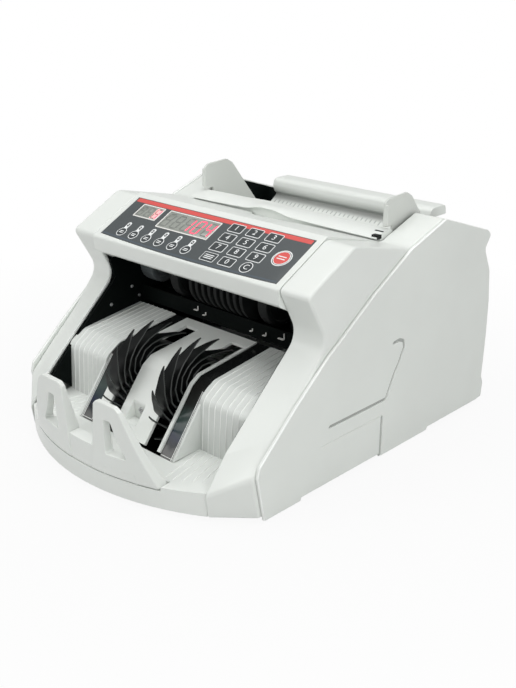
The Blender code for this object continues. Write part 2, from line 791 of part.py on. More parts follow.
def centre_plate():
    """Slanted middle plate with a slot for each impeller and a square screw pocket."""
    path = rounded(places(CENTRE_SHARES), (1, 2), CORNER_ROUND)
    half = SLOT_INNER
    plate = prism("centre_chute_plate", ribbon(path, CHUTE_SKIN), -half, half, "x", light_plastic())
    front = y_at(CENTRE_SHARES[0][0]) - CUT_OVERRUN
    back = y_at(WHEEL_SLOT_BACK_SHARE)
    for left in (WHEEL_SLOT_LEFT, WHEEL_SLOT_RIGHT):
        corner = (left, front, 0)
        cut(plate, block("wheel_slot", corner, (left + WHEEL_SLOT_WIDTH, back, BODY_HEIGHT), light_plastic()))
    foot, knee = places(CENTRE_SHARES)[:2]
    pocket_back = foot[0] + (knee[0] - foot[0]) * 0.5
    pocket_top = on_line(foot, knee, pocket_back)
    side = SCREW_POCKET / 2
    pocket = prism(
        "screw_pocket",
        (
            (pocket_back, pocket_top - SCREW_POCKET - WALL),
            (pocket_back + WALL, pocket_top - SCREW_POCKET - WALL),
            (pocket_back + WALL, pocket_top + WALL / 2),
            (pocket_back, pocket_top - WALL / 2),
        ),
        -side - CHUTE_SKIN,
        side + CHUTE_SKIN,
        "x",
        light_plastic(),
    )
    hole = block(
        "pocket_hole",
        (-side, foot[0], pocket_top - SCREW_POCKET),
        (side, pocket_back, pocket_top + WALL),
        light_plastic(),
    )
    join(plate, pocket)
    return cut(plate, hole)


def slot_window(name, side):
    """Dark sensor window sunk in the slot beside the centre plate."""
    sunk = rounded(offset_path(places(CENTRE_SHARES), WINDOW_DEPTH), (1, 2), CORNER_ROUND)
    low, high = sorted((side * (SLOT_INNER + GAP), side * (BLOCK_INNER - GAP)))
    return prism(name, ribbon(sunk, CHUTE_SKIN), low, high, "x", smoked_window(), True)


def stacker_plate():
    """Front plate with two pierced prongs, bowed at its foot, flat at its top and webbed behind."""
    foot = PRONG_OUTLINE[0][1]
    right = list(PRONG_OUTLINE)
    left = [(-x, z) for x, z in right[::-1]]
    outline = right + left
    top = max(z for x, z in PRONG_OUTLINE) + CUT_OVERRUN
    bowed = bow_arc(BOW_RADIUS, CONSOLE_HALF)
    flat = [(x, plate_front() + GAP) for x, y in bowed]
    mesh_data = bmesh.new()
    rows = []
    for height, front, thick in ((foot - CUT_OVERRUN, bowed, PLATE_THICK_LOW), (top, flat, PLATE_THICK_HIGH)):
        for depth in (0, thick):
            rows.append([mesh_data.verts.new((x, y + depth, height)) for x, y in front])
    low_front, low_back, high_front, high_back = rows
    last = len(bowed) - 1
    for number in range(last):
        following = number + 1
        for one, two in ((low_front, high_front), (low_back, high_back), (low_front, low_back), (high_front, high_back)):
            mesh_data.faces.new((one[number], one[following], two[following], two[number]))
    for number in (0, last):
        corners = (low_front[number], low_back[number], high_back[number], high_front[number])
        mesh_data.faces.new(corners)
    slab = finish("stacker_plate", mesh_data, light_plastic())
    deep_low = -DEPTH / 2 - CUT_OVERRUN
    deep_high = deep_low + DEPTH / 4
    combine(slab, prism("prongs", outline, deep_low, deep_high, "y", light_plastic()), "INTERSECT")
    for side in (-1, 1):
        hole = [(side * x, z) for x, z in PRONG_HOLE]
        cut(slab, prism("prong_hole", hole, deep_low, deep_high, "y", light_plastic()))
        join(slab, prong_web(side))
    inner, height = PRONG_OUTLINE[-1]
    back = plate_front() + PLATE_THICK_LOW + WEB_REACH
    half = inner + WEB_THICKNESS / 2
    low = (-half, plate_front() + PLATE_THICK_LOW / 3, on_line(*places(FLOOR_SHARES), back) + GAP * 2)
    high = (half, back - GAP, height - WEB_THICKNESS / 2)
    return join(slab, block("ledge", low, high, light_plastic()))


def plate_front():
    """Foremost place of the bowed front."""
    return FRONT_END - ORIGIN_PLACE


def prong_web(side):
    """Wedge behind the inner edge of a prong, down to the stacking floor."""
    foot, tip = PRONG_OUTLINE[-1], PRONG_OUTLINE[-2]
    slant = (tip[0] - foot[0]) / (tip[1] - foot[1])
    floor = places(FLOOR_SHARES)
    spots = []
    for deep in (plate_front() + PLATE_THICK_LOW / 2, plate_front() + PLATE_THICK_LOW + WEB_REACH):
        spots.append((deep, on_line(*floor, deep) + GAP))
    spots.append((plate_front() + PLATE_THICK_HIGH / 2, tip[1] - WEB_THICKNESS))
    mesh_data = bmesh.new()
    rows = []
    for across in (0, WEB_THICKNESS):
        inner = foot[0] + across + GAP
        rows.append([mesh_data.verts.new((side * (inner + slant * (z - foot[1])), y, z)) for y, z in spots])
    first, last = rows
    mesh_data.faces.new(first[::-1])
    mesh_data.faces.new(last)
    for number in range(len(first)):
        following = (number + 1) % len(first)
        mesh_data.faces.new((first[number], first[following], last[following], last[number]))
    return finish("web", mesh_data, light_plastic())


def hopper_lip():
    """Front edge of the hopper and the wall behind it, down to the feed rollers."""
    path = places(LIP_SHARES)
    lip = prism("hopper_lip", ribbon(path, HOPPER_SKIN), -INSIDE_HALF, INSIDE_HALF, "x", light_plastic())
    brow = ribbon(path[:3], HOPPER_SKIN)
    return join(lip, prism("brow", brow, -CONSOLE_HALF, CONSOLE_HALF, "x", light_plastic()))


def hopper_plate():
    """Sloping hopper floor, narrow at the back, that rises to a rolled rear edge."""
    front = places(PLATE_FRONT_SHARES)
    outline = front + rounded(places(ROLL_SHARES), (1, 2), CORNER_ROUND) + places(PLATE_BACK_SHARES)
    start, end = Vector(front[0]), Vector(front[1])
    normal = Vector((end.y - start.y, start.x - end.x)).normalized() * HOPPER_SKIN
    outline += [(start.x + normal.x, start.y + normal.y)]
    plate = prism("hopper_plate", outline, -INSIDE_HALF, INSIDE_HALF, "x", light_plastic())
    shelf_back = (start + (end - start) * 0.5).x
    rail = shaft_places()["rail"]
    for side in (-1, 1):
        low, high = sorted((side * PLATE_HALF, side * (INSIDE_HALF + CUT_OVERRUN)))
        opposite = (high, DEPTH, BODY_HEIGHT + CUT_OVERRUN)
        cut(plate, block("side_relief", (low, shelf_back, 0), opposite, light_plastic()))
        inner = GUIDE_PLACE - GUIDE_THICKNESS - GUIDE_TRAVEL - SLEEVE_LENGTH / 2
        low, high = sorted((side * inner, side * (PLATE_HALF + CUT_OVERRUN)))
        corner = (low, rail[0] - STEM_WIDTH / 2 - 3 * GAP, rail[1])
        opposite = (high, rail[0] + STEM_WIDTH / 2 + 3 * GAP, BODY_HEIGHT)
        cut(plate, block("stem_slot", corner, opposite, light_plastic()))
    return plate


def note_guide(name, side):
    """Sliding side guide: a plate with a front flange, a stem and a sleeve on the rail."""
    rail = shaft_places()["rail"]
    floor_low, floor_high = places(PLATE_FRONT_SHARES[:2])
    front = y_at(LIP_SHARES[-1][0]) + HOPPER_SKIN / 2
    clear = 4 * GAP
    back = y_at(GUIDE_TOP_SHARES[-1][0])
    top = places(GUIDE_TOP_SHARES)
    outline = [
        (front, on_line(floor_low, floor_high, front) + clear),
        (front, top[0][1] - clear),
    ]
    outline += top
    outline += [(back, on_line(floor_low, floor_high, back) + clear)]
    outline = rounded(outline, (3, 4, 5), CORNER_ROUND)
    middle = side * GUIDE_PLACE
    low, high = middle - GUIDE_THICKNESS / 2, middle + GUIDE_THICKNESS / 2
    guide = prism(name, outline, low, high, "x", light_plastic())
    flange = rectangle((top[0][0], top[0][0] + GUIDE_THICKNESS), (top[0][1], top[1][1] - CORNER_ROUND), 0)
    reach = sorted((middle, middle + side * GUIDE_FLANGE))
    join(guide, prism("flange", flange, reach[0], reach[1], "x", light_plastic()))
    stem_top = on_line(floor_low, floor_high, rail[0]) + STEM_WIDTH
    stem = rectangle((rail[0] - STEM_WIDTH / 2, rail[0] + STEM_WIDTH / 2), (rail[1], stem_top), 0)
    join(guide, prism("stem", stem, low, high, "x", light_plastic()))
    sleeve_end = middle - side * (SLEEVE_LENGTH - GUIDE_THICKNESS / 2)
    span = sorted((middle + side * GUIDE_THICKNESS / 2, sleeve_end))
    join(guide, prism("sleeve", circle(rail, SLEEVE_RADIUS, PULLEY_SEGMENTS), span[0], span[1], "x", light_plastic()))
    bore = circle(rail, RAIL_RADIUS + RUNNING_CLEARANCE, SHAFT_SEGMENTS)
    over = (span[0] - CUT_OVERRUN, span[1] + CUT_OVERRUN)
    return cut(guide, prism("bore", bore, over[0], over[1], "x", light_plastic()))


def blade_points():
    """Radius share and turn share along a blade, from its tip to the hub."""
    radius_shares = (1, 0.93, 0.8, 0.7, 0.62, 0.53, 0.24)
    turn_shares = (0, 0.045, 0.15, 0.25, 0.38, 0.58, 1)
    return list(zip(radius_shares, turn_shares))


def impeller(name, centre, middle):
    """Stacking wheel: a hub with long curved blades, each narrowed to a point at its tip."""
    axis = Vector(centre)
    mesh_data = bmesh.new()
    for blade in range(BLADES):
        tip = math.radians(59.5) + math.tau * blade / BLADES
        spots = []
        for radius_share, turn_share in blade_points():
            angle = tip + BLADE_SWEEP * turn_share
            spots.append(axis + Vector((math.cos(angle), math.sin(angle))) * IMPELLER_RADIUS * radius_share)
        rows = []
        for number, spot in enumerate(spots):
            way = spots[min(number + 1, len(spots) - 1)] - spots[max(number - 1, 0)]
            sideways = Vector((-way.y, way.x)).normalized() * BLADE_THICKNESS / 2
            widen = min(1, (number + 0.25) / (len(spots) * BLADE_TAPER))
            left = middle + IMPELLER_WIDTH / 2 - IMPELLER_WIDTH * widen
            right = middle + IMPELLER_WIDTH / 2
            corners = ((left, spot + sideways), (right, spot + sideways), (right, spot - sideways), (left, spot - sideways))
            rows.append([mesh_data.verts.new((x, p.x, p.y)) for x, p in corners])
        mesh_data.faces.new(rows[0][::-1])
        mesh_data.faces.new(rows[-1])
        for one, two in zip(rows, rows[1:]):
            for corner in range(4):
                following = (corner + 1) % 4
                mesh_data.faces.new((one[corner], one[following], two[following], two[corner]))
    blades = finish("blades", mesh_data, black_rubber())
    span = (middle - IMPELLER_WIDTH / 2 - GAP, middle + IMPELLER_WIDTH / 2 + GAP)
    wheel = rod(name, centre, HUB_RADIUS, span[0], span[1], black_rubber())
    join(wheel, blades)
    bore_wheel(wheel, centre, span)
    return on_axis(wheel, centre)


def bore_wheel(wheel, centre, span):
    outline = circle(centre, SHAFT_RADIUS + GAP, SHAFT_SEGMENTS)
    low, high = span[0] - CUT_OVERRUN, span[1] + CUT_OVERRUN
    return cut(wheel, prism("bore", outline, low, high, "x", black_rubber()))


def on_axis(made, centre):
    """Moves an object's origin to its axis, leaving the shape where it is."""
    origin = Vector((0, centre[0], centre[1]))
    for vert in made.data.vertices:
        vert.co -= origin
    made.location = origin
    return made


def wheel(name, centre, radius, low, high, look, segments=SHAFT_SEGMENTS):
    """A plain wheel with a bore for its shaft."""
    made = rod(name, centre, radius, low, high, look, segments)
    bore_wheel(made, centre, (low, high))
    return on_axis(made, centre)


def shaft(name, centre, low, high):
    return on_axis(rod(name, centre, SHAFT_RADIUS, low, high, steel()), centre)


def ribbed_roller(centre):
    """Transport roller, turned with raised rings along its length."""
    pitch = 2 * TRANSPORT_HALF / (2 * TRANSPORT_RINGS - 1)
    profile = []
    for number in range(2 * TRANSPORT_RINGS - 1):
        radius = TRANSPORT_RADIUS - (RING_DEPTH if number % 2 else 0)
        start = -TRANSPORT_HALF + pitch * number
        profile += [(start, radius), (start + pitch, radius)]
    bore = SHAFT_RADIUS + GAP
    profile = [(-TRANSPORT_HALF, bore)] + profile + [(TRANSPORT_HALF, bore)]
    mesh_data = bmesh.new()
    rows = []
    for step in range(PULLEY_SEGMENTS):
        angle = math.tau * (step + 0.5) / PULLEY_SEGMENTS
        ring = [(x, r * math.cos(angle), r * math.sin(angle)) for x, r in profile]
        rows.append([mesh_data.verts.new(spot) for spot in ring])
    for one, two in zip(rows, rows[1:] + rows[:1]):
        for number in range(len(profile)):
            following = (number + 1) % len(profile)
            mesh_data.faces.new((one[number], one[following], two[following], two[number]))
    roller = finish("transport_roller", mesh_data, black_rubber(), True)
    roller.location = (0, centre[0], centre[1])
    return roller


def belt_lane(number):
    """The span in X of a belt's lane outside the left frame."""
    start = -FRAME_OUT - GAP * 2 - BELT_PITCH * number
    return start - BELT_WIDTH, start


def pulley(name, centre, radius, lanes):
    low = belt_lane(lanes[-1])[0]
    high = belt_lane(lanes[0])[1]
    return wheel(name, centre, radius, low, high, black_plastic(), PULLEY_SEGMENTS)


def belt(name, first, first_radius, second, second_radius, lane):
    """A flat belt round two pulleys, along their outer tangents."""
    one, two = Vector(first), Vector(second)
    between = two - one
    heading = math.atan2(between.y, between.x)

    def loop(extra):
        lean = math.acos((first_radius - second_radius) / between.length)
        points = []
        for centre, radius, start, end in (
            (two, second_radius + extra, -lean, lean),
            (one, first_radius + extra, lean, math.tau - lean),
        ):
            for step in range(PULLEY_SEGMENTS // 2 + 1):
                angle = heading + start + (end - start) * step / (PULLEY_SEGMENTS // 2)
                points.append((centre.x + radius * math.cos(angle), centre.y + radius * math.sin(angle)))
        return points

    low, high = belt_lane(lane)
    slack = GAP * 3
    outer = prism(name, loop(slack + BELT_THICKNESS), low, high, "x", black_rubber())
    hollow = prism("hollow", loop(slack), low - CUT_OVERRUN, high + CUT_OVERRUN, "x", black_rubber())
    return cut(outer, hollow)


def transport_group(centre):
    shaft("transport_shaft", centre, -SHAFT_END, FRAME_OUT + WALL)
    ribbed_roller(centre)
    for side, word in ((-1, "left"), (1, "right")):
        for name, place, width, radius, look in (
            ("transport_disc", DISC_PLACE, DISC_WIDTH, DISC_RADIUS, black_rubber()),
            ("grip_wheel", GRIP_PLACE, GRIP_WIDTH, GRIP_RADIUS, pale_rubber()),
        ):
            middle = side * place
            wheel(f"{word}_{name}", centre, radius, middle - width / 2, middle + width / 2, look)
    stepped_pulley(centre)


def stepped_pulley(centre):
    """Transport pulley, with a small step next to the frame for the impeller's belt."""
    span = (belt_lane(2)[0], belt_lane(0)[1])
    large = (span[0], belt_lane(1)[1] + GAP)
    made = rod("transport_pulley", centre, TRANSPORT_STEP_RADIUS, span[0], span[1], black_plastic(), PULLEY_SEGMENTS)
    step = rod("step", centre, TRANSPORT_PULLEY_RADIUS, large[0], large[1], black_plastic(), PULLEY_SEGMENTS)
    join(made, step)
    bore_wheel(made, centre, span)
    return on_axis(made, centre)


def impeller_group(centre):
    shaft("impeller_shaft", centre, belt_lane(0)[0] - GAP, FRAME_OUT + WALL)
    impeller("left_impeller", centre, WHEEL_LEFT_PLACE)
    impeller("right_impeller", centre, WHEEL_RIGHT_PLACE)
    pulley("impeller_pulley", centre, IMPELLER_PULLEY_RADIUS, (0,))


def feed_group(centre):
    shaft("feed_shaft", centre, -SHAFT_END, FRAME_OUT + WALL)
    for side, word in ((-1, "left"), (1, "right")):
        middle = side * FEED_PLACE
        wheel(f"{word}_feed_roller", centre, FEED_RADIUS, middle - FEED_WIDTH / 2, middle + FEED_WIDTH / 2, black_rubber())
    pulley("feed_pulley", centre, FEED_PULLEY_RADIUS, (2,))


def motor_group(centre):
    """Motor with its face on the left frame, and the pulley on its shaft."""
    motor_end = -FRAME_IN + GAP
    motor = rod("drive_motor", centre, MOTOR_RADIUS, motor_end, motor_end + MOTOR_LENGTH, steel())
    outline = circle(centre, SHAFT_RADIUS + RUNNING_CLEARANCE, SHAFT_SEGMENTS)
    depth = motor_end + MOTOR_LENGTH / 4
    cut(motor, prism("motor_bore", outline, motor_end - CUT_OVERRUN, depth, "x", steel()))
    shaft("motor_shaft", centre, -SHAFT_END, depth - GAP)
    pulley("motor_pulley", centre, MOTOR_PULLEY_RADIUS, (1,))


def belts(axes):
    belt("impeller_belt", axes["impeller"], IMPELLER_PULLEY_RADIUS, axes["transport"], TRANSPORT_STEP_RADIUS, 0)
    belt("motor_belt", axes["motor"], MOTOR_PULLEY_RADIUS, axes["transport"], TRANSPORT_PULLEY_RADIUS, 1)
    belt("feed_belt", axes["feed"], FEED_PULLEY_RADIUS, axes["transport"], TRANSPORT_PULLEY_RADIUS, 2)


def note_path(centre):
    """Black plate that wraps under the transport roller and carries notes to the chute."""
    radius = TRANSPORT_RADIUS + GUIDE_CLEARANCE
    steps = 10
    path = []
    for step in range(steps + 1):
        angle = math.radians(-35) - math.radians(95) * step / steps
        path.append((centre[0] + radius * math.cos(angle), centre[1] + radius * math.sin(angle)))
    back = places(CHUTE_SHARES)[-1]
    path.append((back[0] + GUIDE_WRAP, back[1] + GUIDE_WRAP))
    return prism("note_path", ribbon(path, -GUIDE_WRAP), -INSIDE_HALF, INSIDE_HALF, "x", black_plastic(), True)


def retard_block(feed):
    """Friction block over the feed rollers, on the console's rear wall."""
    front = y_at(LIP_SHARES[0][0]) - GAP
    low = feed[1] + FEED_RADIUS + GAP
    corner = (-RETARD_HALF, front + GAP, low)
    opposite = (RETARD_HALF, front + GAP + 3 * WALL, low + 6 * WALL)
    return block("retard_block", corner, opposite, black_rubber())


def guide_rail(centre):
    return rod("guide_rail", centre, RAIL_RADIUS, -INSIDE_HALF, INSIDE_HALF, steel())


def power_supply():
    low = (INSIDE_HALF / 4, y_at(0.2), BASE_TOP + GAP)
    high = (INSIDE_HALF - WALL, y_at(0.42), BASE_TOP + GAP + 16 * WALL)
    return block("power_supply", low, high, panel_plastic())


def cover_front(height):
    """Depth of the rear cover's outer face at a height."""
    path = places(COVER_BACK_SHARES)
    for low, high in zip(path[1:], path):
        if low[1] <= height <= high[1]:
            return low[0] + (high[0] - low[0]) * (height - low[1]) / (high[1] - low[1])
    return path[0][0]


def bezel(name, place, width, height, depth, look):
    """A fitting with a rim on the rear cover's outer face and a body through its hole."""
    middle = z_at(REAR_FITTING_Z_SHARE)
    face = max(cover_front(middle + height), cover_front(middle - height)) + GAP
    body = block(
        name,
        (place - width / 2, face - depth, middle - height / 2),
        (place + width / 2, face + BEZEL_PROUD / 2, middle + height / 2),
        look,
    )
    rim = block(
        "rim",
        (place - width / 2 - BEZEL_RIM, face, middle - height / 2 - BEZEL_RIM),
        (place + width / 2 + BEZEL_RIM, face + BEZEL_PROUD, middle + height / 2 + BEZEL_RIM),
        look,
    )
    join(body, rim)
    return body, face, middle


def power_inlet():
    """Recessed mains inlet with three flat contacts."""
    inlet, face, middle = bezel("power_inlet", INLET_PLACE, INLET_WIDTH, INLET_HEIGHT, INLET_DEPTH, black_plastic())
    wall = WALL / 2
    low = (INLET_PLACE - INLET_WIDTH / 2 + wall, face - INLET_DEPTH + WALL, middle - INLET_HEIGHT / 2 + wall)
    high = (INLET_PLACE + INLET_WIDTH / 2 - wall, face + CUT_OVERRUN, middle + INLET_HEIGHT / 2 - wall)
    cut(inlet, block("cavity", low, high, black_plastic()))
    half_width, half_height = CONTACT_WIDTH / 2, CONTACT_HEIGHT / 2
    for number in (-1, 0, 1):
        across = INLET_PLACE + CONTACT_SPACE * number
        up = middle + half_height * (1 - 2 * abs(number))
        corner = (across - half_width, face - INLET_DEPTH + WALL / 2, up - half_height)
        opposite = (across + half_width, face - 2 * WALL, up + half_height)
        join(inlet, block("contact", corner, opposite, black_plastic()))
    return inlet


def power_switch():
    """Switch frame and the rocker that tips in it."""
    frame, face, middle = bezel("switch_frame", ROCKER_PLACE, ROCKER_WIDTH, ROCKER_HEIGHT, INLET_DEPTH, black_plastic())
    wall = WALL / 2
    low = (ROCKER_PLACE - ROCKER_WIDTH / 2 + wall, face - INLET_DEPTH + WALL, middle - ROCKER_HEIGHT / 2 + wall)
    high = (ROCKER_PLACE + ROCKER_WIDTH / 2 - wall, face + CUT_OVERRUN, middle + ROCKER_HEIGHT / 2 - wall)
    cut(frame, block("cavity", low, high, black_plastic()))
    pivot = (face - ROCKER_RADIUS / 2, middle)
    half = ROCKER_HEIGHT / 2 - wall - 4 * GAP
    crown = face + BEZEL_PROUD / 2
    outline = (
        (pivot[0] - WALL, middle - half / 2),
        (crown, middle - half),
        (crown - 2 * GAP, middle),
        (crown, middle + half),
        (pivot[0] - WALL, middle + half / 2),
    )
    outline = turned(outline, pivot, -ROCKER_TILT)
    span = (ROCKER_PLACE - ROCKER_WIDTH / 2 + wall + GAP, ROCKER_PLACE + ROCKER_WIDTH / 2 - wall - GAP)
    rocker = prism("power_rocker", outline, span[0], span[1], "x", black_plastic())
    return on_axis(rocker, pivot)


def round_fittings():
    """Fuse holder cap and display jack."""
    middle = z_at(REAR_FITTING_Z_SHARE)
    for name, place, radius, hollow in (
        ("fuse_holder", FUSE_PLACE, FUSE_RADIUS, FUSE_RADIUS / 3),
        ("display_jack", JACK_PLACE, JACK_RADIUS, JACK_RADIUS / 2),
    ):
        rim_radius = radius + BEZEL_RIM
        face = max(cover_front(middle + rim_radius), cover_front(middle - rim_radius)) + GAP
        body = prism(name, circle((place, middle), radius, PULLEY_SEGMENTS), face - INLET_DEPTH, face + GAP, "y", black_plastic())
        rim = circle((place, middle), rim_radius, PULLEY_SEGMENTS)
        join(body, prism("rim", rim, face, face + BEZEL_PROUD, "y", black_plastic()))
        hole = circle((place, middle), hollow, PULLEY_SEGMENTS)
        cut(body, prism("hole", hole, face - INLET_DEPTH / 2, face + CUT_OVERRUN, "y", black_plastic()))


def gap_control():
    """Cup sunk in the rear cover and the fluted knob that turns in it."""
    height = z_at(KNOB_Z_SHARE)
    radius = KNOB_RADIUS + CUP_CLEARANCE
    face = max(cover_front(height + radius), cover_front(height - radius)) + GAP
    cup = prism("knob_cup", circle((0, height), radius, SHAFT_SEGMENTS), face - KNOB_LENGTH - WALL, face + GAP, "y", black_plastic())
    rim = circle((0, height), radius + BEZEL_RIM, SHAFT_SEGMENTS)
    join(cup, prism("rim", rim, face, face + BEZEL_PROUD, "y", black_plastic()))
    hollow = circle((0, height), radius - WALL / 2, SHAFT_SEGMENTS)
    cut(cup, prism("hollow", hollow, face - KNOB_LENGTH, face + CUT_OVERRUN, "y", black_plastic()))
    hole = circle((0, height), SHAFT_RADIUS + RUNNING_CLEARANCE, SHAFT_SEGMENTS)
    cut(cup, prism("hole", hole, face - INLET_DEPTH, face + CUT_OVERRUN, "y", black_plastic()))
    outline = []
    for step in range(2 * KNOB_FLUTES):
        reach = KNOB_RADIUS * (1 if step % 2 else 0.9)
        angle = math.tau * step / (2 * KNOB_FLUTES)
        outline.append((reach * math.cos(angle), height + reach * math.sin(angle)))
    knob = prism("gap_knob", outline, face - KNOB_LENGTH + GAP, face + BEZEL_PROUD, "y", black_plastic())
    spindle = circle((0, height), SHAFT_RADIUS, SHAFT_SEGMENTS)
    join(knob, prism("spindle", spindle, face - KNOB_LENGTH - 3 * WALL, face - KNOB_LENGTH + WALL, "y", black_plastic()))
    return on_axis(knob, (face, height))


def clear_scene():
    for old in list(bpy.data.objects):
        bpy.data.objects.remove(old)


def build():
    clear_scene()
    axes = shaft_places()
    base_tray()
    feet()
    for side, word in ((-1, "left"), (1, "right")):
        side_shell(f"{word}_side_shell", side)
        side_panel(f"{word}_side_panel", side)
        side_frame(f"{word}_side_frame", side)
        chute_block(f"{word}_chute_block", side)
        slot_window(f"{word}_slot_window", side)
        note_guide(f"{word}_note_guide", side)
    centre_plate()
    stacker_plate()
    rear_cover()
    housing = console()
    cut(housing, finger_scoop())
    hopper_lip()
    overlay()
    displays()
    control_board()
    hopper_plate()
    guide_rail(axes["rail"])
    impeller_group(axes["impeller"])
    transport_group(axes["transport"])
    feed_group(axes["feed"])
    motor_group(axes["motor"])
    belts(axes)
    note_path(axes["transport"])
    retard_block(axes["feed"])
    power_supply()
    power_inlet()
    power_switch()
    round_fittings()
    gap_control()


build()
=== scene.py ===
"""Looks of the banknote counter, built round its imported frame.

Lengths in here are millimetres, X right, Y back, Z up.
The side view's own zero stands SIDE_ZERO behind the frame's origin.
"""

import json
import math

import bmesh
import bpy
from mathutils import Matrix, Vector

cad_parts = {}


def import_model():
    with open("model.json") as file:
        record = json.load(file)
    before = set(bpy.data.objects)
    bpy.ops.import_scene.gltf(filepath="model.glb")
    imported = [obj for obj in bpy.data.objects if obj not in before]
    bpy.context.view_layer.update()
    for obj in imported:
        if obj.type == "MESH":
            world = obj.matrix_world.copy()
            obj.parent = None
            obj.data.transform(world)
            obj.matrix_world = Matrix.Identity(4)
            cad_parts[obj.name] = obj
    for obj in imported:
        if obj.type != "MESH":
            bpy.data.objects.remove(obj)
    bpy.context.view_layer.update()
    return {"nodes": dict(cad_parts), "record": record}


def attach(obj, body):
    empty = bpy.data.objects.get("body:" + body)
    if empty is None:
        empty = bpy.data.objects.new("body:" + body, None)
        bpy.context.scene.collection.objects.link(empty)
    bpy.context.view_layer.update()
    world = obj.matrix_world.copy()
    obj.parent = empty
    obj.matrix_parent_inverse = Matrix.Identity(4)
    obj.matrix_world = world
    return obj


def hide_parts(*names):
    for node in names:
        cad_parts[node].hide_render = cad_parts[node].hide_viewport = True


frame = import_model()
scene = bpy.context.scene

MM = 0.001
SIDE_ZERO = -2.019
HALF = 122.5
SHELL = 119.7
OPENING = 95.1
SIDES = ((-1, "left"), (1, "right"))


# Outlines

def turned(spot, angle):
    """A point turned about the origin."""
    c, s = math.cos(angle), math.sin(angle)
    return Vector((spot.x * c - spot.y * s, spot.x * s + spot.y * c))


def arc_corner(before, here, after, radius, steps):
    """Points of a corner rounded with a true arc."""
    back, ahead = before - here, after - here
    angle = back.angle(ahead)
    if radius <= 0:
        return [here]
    if angle > math.pi - 0.03:
        one, two = here + back.normalized(), here + ahead.normalized()
        return [one.lerp(two, step / steps) for step in range(steps + 1)]
    reach = min(radius / math.tan(angle / 2), back.length * 0.49, ahead.length * 0.49)
    radius = reach * math.tan(angle / 2)
    start, end = here + back.normalized() * reach, here + ahead.normalized() * reach
    centre = here + (back.normalized() + ahead.normalized()).normalized() * (radius / math.sin(angle / 2))
    first, last = start - centre, end - centre
    sweep = math.atan2(first.x * last.y - first.y * last.x, first.dot(last))
    return [centre + turned(first, sweep * step / steps) for step in range(steps + 1)]


def outline(points, steps=5):
    """A closed outline from corners (u, v) or (u, v, radius)."""
    made = []
    flat = [Vector(p[:2]) for p in points]
    for number, point in enumerate(points):
        radius = point[2] if len(point) > 2 else 0
        made += arc_corner(flat[number - 1], flat[number], flat[(number + 1) % len(flat)], radius, steps)
    return made


def track(points, steps=5):
    """An open line from corners (u, v) or (u, v, radius)."""
    flat = [Vector(p[:2]) for p in points]
    made = [flat[0]]
    for number in range(1, len(points) - 1):
        radius = points[number][2] if len(points[number]) > 2 else 0
        made += arc_corner(flat[number - 1], flat[number], flat[number + 1], radius, steps)
    return made + [flat[-1]]


def mitred(here, one, two, distance):
    """A point moved so that the edges with these two normals both move by the distance."""
    middle = (one + two).normalized() if (one + two).length > 1e-6 else one
    return here + middle * distance / max(0.4, middle.dot(one))


def shifted(line, distance):
    """An open line moved to its right-hand side."""
    ways = [(b - a).normalized() for a, b in zip(line, line[1:])]
    normals = [Vector((way.y, -way.x)) for way in ways]
    before, after = normals[:1] + normals, normals + normals[-1:]
    return [mitred(here, one, two, distance) for here, one, two in zip(line, before, after)]


def inset(points, distance):
    """A closed outline moved inwards."""
    pairs = list(zip(points, points[1:] + points[:1]))
    turn = 1 if sum(a.x * b.y - b.x * a.y for a, b in pairs) > 0 else -1
    ways = [(b - a).normalized() for a, b in pairs]
    normals = [Vector((-way.y, way.x)) * turn for way in ways]
    before = normals[-1:] + normals
    return [mitred(here, one, two, distance) for here, one, two in zip(points, before, normals)]


def run_counts(points, longest=4):
    """How often each run of a closed outline is divided."""
    return [max(1, round((b - a).length / longest)) for a, b in zip(points, points[1:] + points[:1])]


def denser(points, runs=None):
    """A closed outline with its long runs divided, by a matching outline's counts where given."""
    made = []
    for number, (here, count) in enumerate(zip(points, runs or run_counts(points))):
        following = points[(number + 1) % len(points)]
        made += [here.lerp(following, step / count) for step in range(count)]
    return made


def round_points(centre, radius, count):
    steps = [math.tau * step / count for step in range(count)]
    return [Vector((centre[0] + radius * math.cos(a), centre[1] + radius * math.sin(a))) for a in steps]


# Meshes

def in_frame(spot):
    """A point in the frame's metres from one in the side view's millimetres."""
    return Vector((spot[0], spot[1] + SIDE_ZERO, spot[2])) * MM


PLACE = {
    "x": lambda u, v, w: (w, u, v),
    "y": lambda u, v, w: (u, w, v),
    "z": lambda u, v, w: (u, v, w),
}


def added(name, data):
    """A new object in the scene."""
    made = bpy.data.objects.new(name, data)
    scene.collection.objects.link(made)
    return made


def made_object(name, mesh_data):
    mesh = bpy.data.meshes.new(name)
    bmesh.ops.recalc_face_normals(mesh_data, faces=mesh_data.faces)
    mesh_data.to_mesh(mesh)
    mesh_data.free()
    return added(name, mesh)


def loft(name, rings, loop=False):
    """A skin over rings of points in millimetres, each with the same count."""
    mesh_data = bmesh.new()
    rows = [[mesh_data.verts.new(in_frame(spot)) for spot in ring] for ring in rings]
    pairs = list(zip(rows, rows[1:])) + ([(rows[-1], rows[0])] if loop else [])
    for one, two in pairs:
        for number in range(len(one)):
            following = (number + 1) % len(one)
            mesh_data.faces.new((one[number], one[following], two[following], two[number]))
    if not loop:
        mesh_data.faces.new(rows[0][::-1])
        mesh_data.faces.new(rows[-1])
    return made_object(name, mesh_data)


def slab(name, points, low, high, axis="x", edge=0.5, steps=3):
    """A plate of an outline with rounded edges at both ends."""
    turns = [math.pi / 2 * k / steps for k in range(steps + 1)]
    ramp = [(edge * (1 - math.cos(a)), edge * (1 - math.sin(a))) for a in turns]
    stations = [(low + along, inward) for along, inward in ramp]
    stations += [(high - along, inward) for along, inward in ramp[::-1]]
    rings = [(at, inset(points, inward) if inward else points) for at, inward in stations]
    return loft(name, [[PLACE[axis](p.x, p.y, at) for p in ring] for at, ring in rings])


